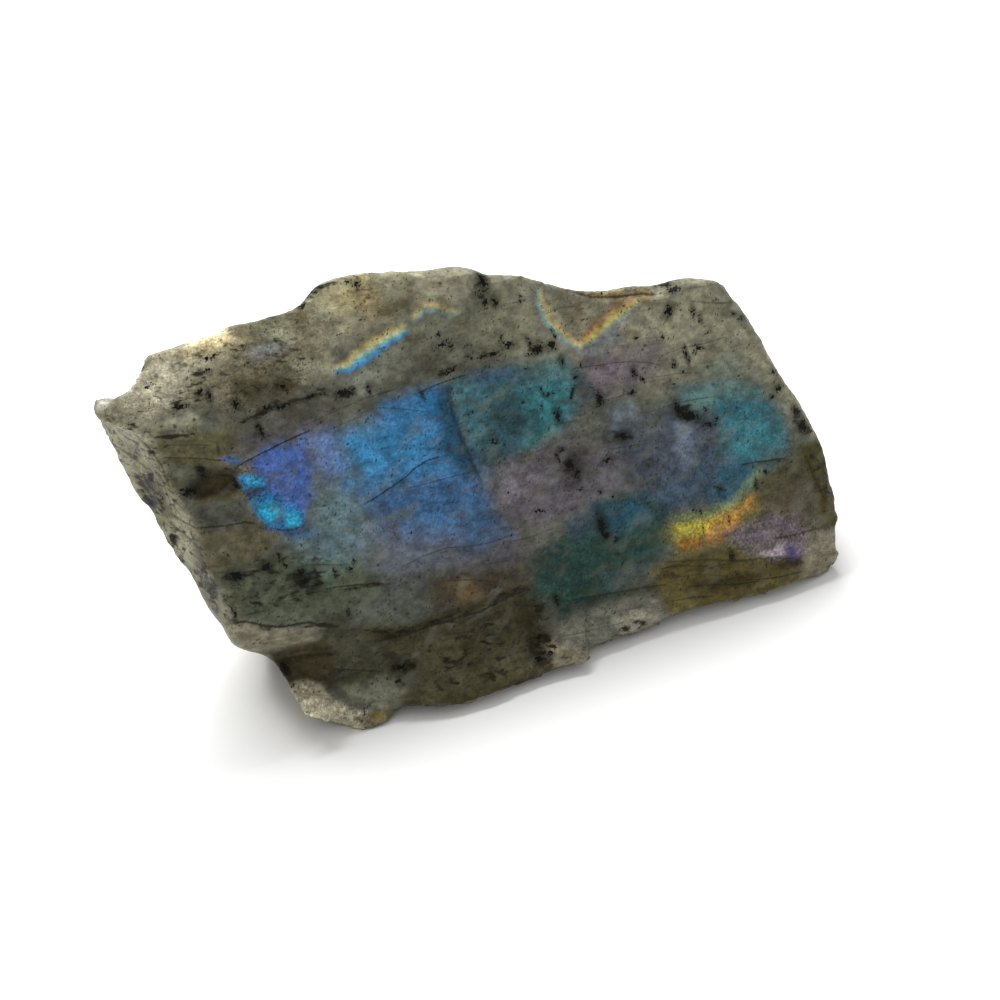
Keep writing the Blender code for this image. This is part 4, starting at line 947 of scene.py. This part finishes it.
# Fine dark needles of iron minerals: spacing in mm, tilt in degrees, each one's width, and how many show.
NEEDLES = [
    ((0.62, 1.1, 0.7), -14, 0.16, 0.55),
    ((1.5, 0.7, 1), 18, 0.14, 0.4),
    ((1.1, 2.7, 1.2), -38, 0.12, 0.45),
    ((2.8, 1.5, 2), 8, 0.1, 0.4),
    ((3.4, 3.6, 3.4), 30, 0.07, 0.5),
]


def cleaved_labradorite():
    """Labradorite feldspar, split along its grain and rubbed a little on the broad face.

    It gives the eye a satin, clouded, half see-through surface full of fine dark needles, with
    flashes of blue, teal and gold, light reflected from thin layers under the surface that is painted into
    the colour along with glints, and sugary broken stone at the rims.
    """
    finish = bpy.data.materials.new("cleaved_labradorite")
    finish.use_nodes = True
    tree = finish.node_tree
    tree.nodes.clear()
    place = add(tree, "TexCoord")["Object"]
    upright = {"Vector": place, "Rotation": (math.pi / 2 - LEAN, 0, 0), "Scale": (MM, MM, MM)}
    grain_way = add(tree, "Mapping", upright, vector_type="TEXTURE")["Vector"]
    marks = {name: add(tree, "Attribute", attribute_name=name)["Fac"] for name in MARKS}
    colour = add(tree, "Attribute", attribute_name="stone_colour")["Color"]

    patterns = {}
    for name, (sizes, tilt, layers, low, high) in PATTERNS.items():
        turned = {"Vector": grain_way, "Rotation": (0, 0, math.radians(tilt)), "Scale": sizes}
        laid = add(tree, "Mapping", turned, vector_type="TEXTURE")["Vector"]
        rough = add(tree, "TexNoise", {"Vector": laid, "Scale": 1, "Detail": layers})["Fac"]
        heights = {"Value": rough, "From Min": low, "From Max": high}
        patterns[name] = add(tree, "MapRange", heights, interpolation_type="SMOOTHSTEP")["Result"]

    bright = 1
    for name, where, least, most in BRIGHTNESS:
        share = add(tree, "MapRange", {"Value": patterns[name], "To Min": least, "To Max": most})["Result"]
        if where:
            there = {"Factor_Float": marks[where], "A_Float": 1, "B_Float": share}
            share = add(tree, "Mix", there, data_type="FLOAT")["Result_Float"]
        bright = add(tree, "Math", {"Value": bright, "Value_001": share}, operation="MULTIPLY")["Value"]
    colour = add(tree, "HueSaturation", {"Color": colour, "Value": bright})["Color"]

    needles = 0
    for spacing, tilt, wide, few in NEEDLES:
        turned = {"Vector": grain_way, "Rotation": (0, 0, math.radians(tilt)), "Scale": spacing}
        laid = add(tree, "Mapping", turned, vector_type="TEXTURE")["Vector"]
        cells = add(tree, "TexVoronoi", {"Vector": laid, "Scale": 1})
        edge = {"Value": cells["Distance"], "From Min": wide + 0.1, "From Max": wide - 0.04}
        close = add(tree, "MapRange", edge, interpolation_type="SMOOTHSTEP")["Result"]
        chance = add(tree, "SeparateColor", {"Color": cells["Color"]})["Red"]
        crowd = {"Value": patterns["clumps"], "Value_001": few}
        most = add(tree, "Math", crowd, operation="MULTIPLY")["Value"]
        kept = add(tree, "Math", {"Value": chance, "Value_001": most}, operation="LESS_THAN")["Value"]
        shown = add(tree, "Math", {"Value": close, "Value_001": kept}, operation="MULTIPLY")["Value"]
        needles = add(tree, "Math", {"Value": needles, "Value_001": shown}, operation="MAXIMUM")["Value"]

    # Dirt covers more of the stone where there is more of it.
    filled = add(tree, "Math", {"Value": patterns["grime"], "Value_001": marks["dirt"]})["Value"]
    pores = {"Value": filled, "From Min": 0.92, "From Max": 1.36}
    filled = add(tree, "MapRange", pores, interpolation_type="SMOOTHSTEP")["Result"]

    # Cracks and the painted shadow lines are thin dark lines whose width wanders.
    wander = add(tree, "MapRange", {"Value": patterns["flecks"], "To Min": 0.6, "To Max": 1.5})["Result"]
    lines = []
    for away, dark in (("crack_0", "crack_dark_0"), ("crack_1", "crack_dark_1")):
        away = add(tree, "Math", {"Value": marks[away]}, operation="ABSOLUTE")["Value"]
        away = add(tree, "Math", {"Value": away, "Value_001": wander}, operation="MULTIPLY")["Value"]
        edge = {"Value": away, "From Min": 0.24, "From Max": 0.03}
        line = add(tree, "MapRange", edge, interpolation_type="SMOOTHSTEP")["Result"]
        line = add(tree, "Math", {"Value": line, "Value_001": marks[dark]}, operation="MULTIPLY")["Value"]
        lines.append(line)

    # The larger dark grains have ragged edges.
    ragged = add(tree, "MapRange", {"Value": patterns["flecks"], "To Min": -0.36, "To Max": 0.32})["Result"]
    inside = add(tree, "Math", {"Value": marks["grains"], "Value_001": ragged})["Value"]
    edge = {"Value": inside, "From Min": -0.12, "From Max": 0.14}
    inside = add(tree, "MapRange", edge, interpolation_type="SMOOTHSTEP")["Result"]
    inside = add(tree, "Math", {"Value": inside, "Value_001": marks["front"]}, operation="MULTIPLY")["Value"]

    # What lies over the stone's own colour, each over the ones before it, how much of it, and its colour.
    covers = [
        (patterns["veils"], 0.22, "#868a7c"),
        (patterns["stains"], 0.3, "#4c4124"),
        (needles, 0.75, "#14140d"),
        (marks["dirt"], 0.3, "#2e2815"),
        (filled, 0.92, "#1c170c"),
        # The first dark lines include painted shadow lines under overhanging edges.
        (lines[0], 0.85, "#1b1a12"),
        (lines[1], 0.85, "#1b1a12"),
        (marks["smudge"], 0.55, "#181a12"),
        (inside, 1, "#0c0d09"),
    ]
    for share, most, code in covers:
        share = add(tree, "Math", {"Value": share, "Value_001": most}, operation="MULTIPLY")["Value"]
        over = {"Factor_Float": share, "A_Color": colour, "B_Color": opaque(code)}
        colour = add(tree, "Mix", over, data_type="RGBA")["Result_Color"]

    satin = add(tree, "MapRange", {"Value": patterns["mottles"], "To Min": 0.4, "To Max": 0.55})["Result"]
    sugary = {"Factor_Float": marks["crumbly"], "A_Float": satin, "B_Float": 0.7}
    roughness = add(tree, "Mix", sugary, data_type="FLOAT")["Result_Float"]
    height = 0
    for name, share in (("sugar", 0.4), ("motes", 0.3), ("crumbs", 0.6)):
        raised = {"Value": patterns[name], "Value_001": share, "Value_002": height}
        height = add(tree, "Math", raised, operation="MULTIPLY_ADD")["Value"]
    bumpy = add(tree, "Bump", {"Height": height, "Distance": 0.12 * MM, "Strength": 0.6})["Normal"]
    shine = {"Roughness": roughness, "Metallic": 0, "IOR": 1.56, "Specular IOR Level": 0.07}
    surface = add(tree, "BsdfPrincipled", {"Base Color": colour, "Normal": bumpy, **shine})["BSDF"]
    add(tree, "OutputMaterial", {"Surface": surface})
    return finish


# --- The floor, the light and the camera --------------------------------------------------------


def white_paper():
    """Matt white paper, which gives an even white under soft light."""
    finish = bpy.data.materials.new("matt_white_paper")
    finish.use_nodes = True
    surface = finish.node_tree.nodes["Principled BSDF"]
    surface.inputs["Base Color"].default_value = opaque("#f3f3f2")
    surface.inputs["Roughness"].default_value = 0.9
    surface.inputs["Specular IOR Level"].default_value = 0.1
    return finish


def lay_floor():
    corners = [(x * HALF_FLOOR, y * HALF_FLOOR, 0) for x, y in ((-1, -1), (1, -1), (1, 1), (-1, 1))]
    mesh = bpy.data.meshes.new("floor")
    mesh.from_pydata(corners, [], [(0, 1, 2, 3)])
    mesh.materials.append(white_paper())
    floor = bpy.data.objects.new("floor", mesh)
    bpy.context.scene.collection.objects.link(floor)


def hang_softbox():
    light = bpy.data.lights.new("softbox", "AREA")
    light.shape = "RECTANGLE"
    light.size, light.size_y = SOFTBOX_SIZE
    light.energy = SOFTBOX_WATTS
    box = bpy.data.objects.new("softbox", light)
    box.location = SOFTBOX_PLACE
    box.rotation_euler = (SOFTBOX_TARGET - SOFTBOX_PLACE).to_track_quat("-Z", "Y").to_euler()
    bpy.context.scene.collection.objects.link(box)


def light_studio():
    """A white room with one large softbox above and behind the stone."""
    scene = bpy.context.scene
    scene.view_settings.view_transform = "Standard"
    scene.world = bpy.data.worlds.new("white_room")
    scene.world.use_nodes = True
    room = scene.world.node_tree.nodes["Background"]
    room.inputs["Color"].default_value = (1, 1, 1, 1)
    room.inputs["Strength"].default_value = ROOM_LIGHT
    hang_softbox()


def place_camera():
    lens = bpy.data.cameras.new("camera")
    lens.lens = LENS
    lens.sensor_width = 36
    lens.clip_start = 0.01
    camera = bpy.data.objects.new("camera", lens)
    camera.location = TOE + CAMERA_FROM_TOE * MM
    camera.rotation_euler = (math.pi / 2 - CAMERA_DIP, 0, -CAMERA_HEADING)
    bpy.context.scene.collection.objects.link(camera)
    bpy.context.scene.camera = camera


def sit_flat(mesh):
    """Lifts the foot a little off the floor between its two ends, and brings up what lies below the floor."""
    places = places_of(mesh)
    along, back, up = (places - np.array(TOE)).T / MM
    marks = np.arange(FOOT[0], FOOT[1] + 1, 2.0)
    low = up < 4
    edge = [back[low & (np.abs(along - mark) < 2)].min() for mark in marks]
    behind = back - np.interp(along, marks, edge)
    share = ramp(-behind, -14, -1) * ramp(-up, -8, -0.5)
    share *= ramp(along, FOOT[0], FOOT[0] + 8) * ramp(-along, -FOOT[1], -FOOT[1] + 8)
    places[:, 1] -= FOOT_FORWARD * MM * share
    places[:, 2] += FOOT_GAP * MM * share
    places[:, 2] = np.maximum(places[:, 2], 0)
    put_places(mesh, places)


def finish_stone():
    """The finished stone over its CAD solid."""
    stone = shape_stone()
    paint(stone.data)
    stone.data.transform(to_face().inverted())
    sit_flat(stone.data)
    stone.data.materials.clear()
    stone.data.materials.append(cleaved_labradorite())
    for face in stone.data.polygons:
        face.use_smooth = True
    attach(stone, "root")
    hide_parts(STONE)


finish_stone()
lay_floor()
light_studio()
place_camera()
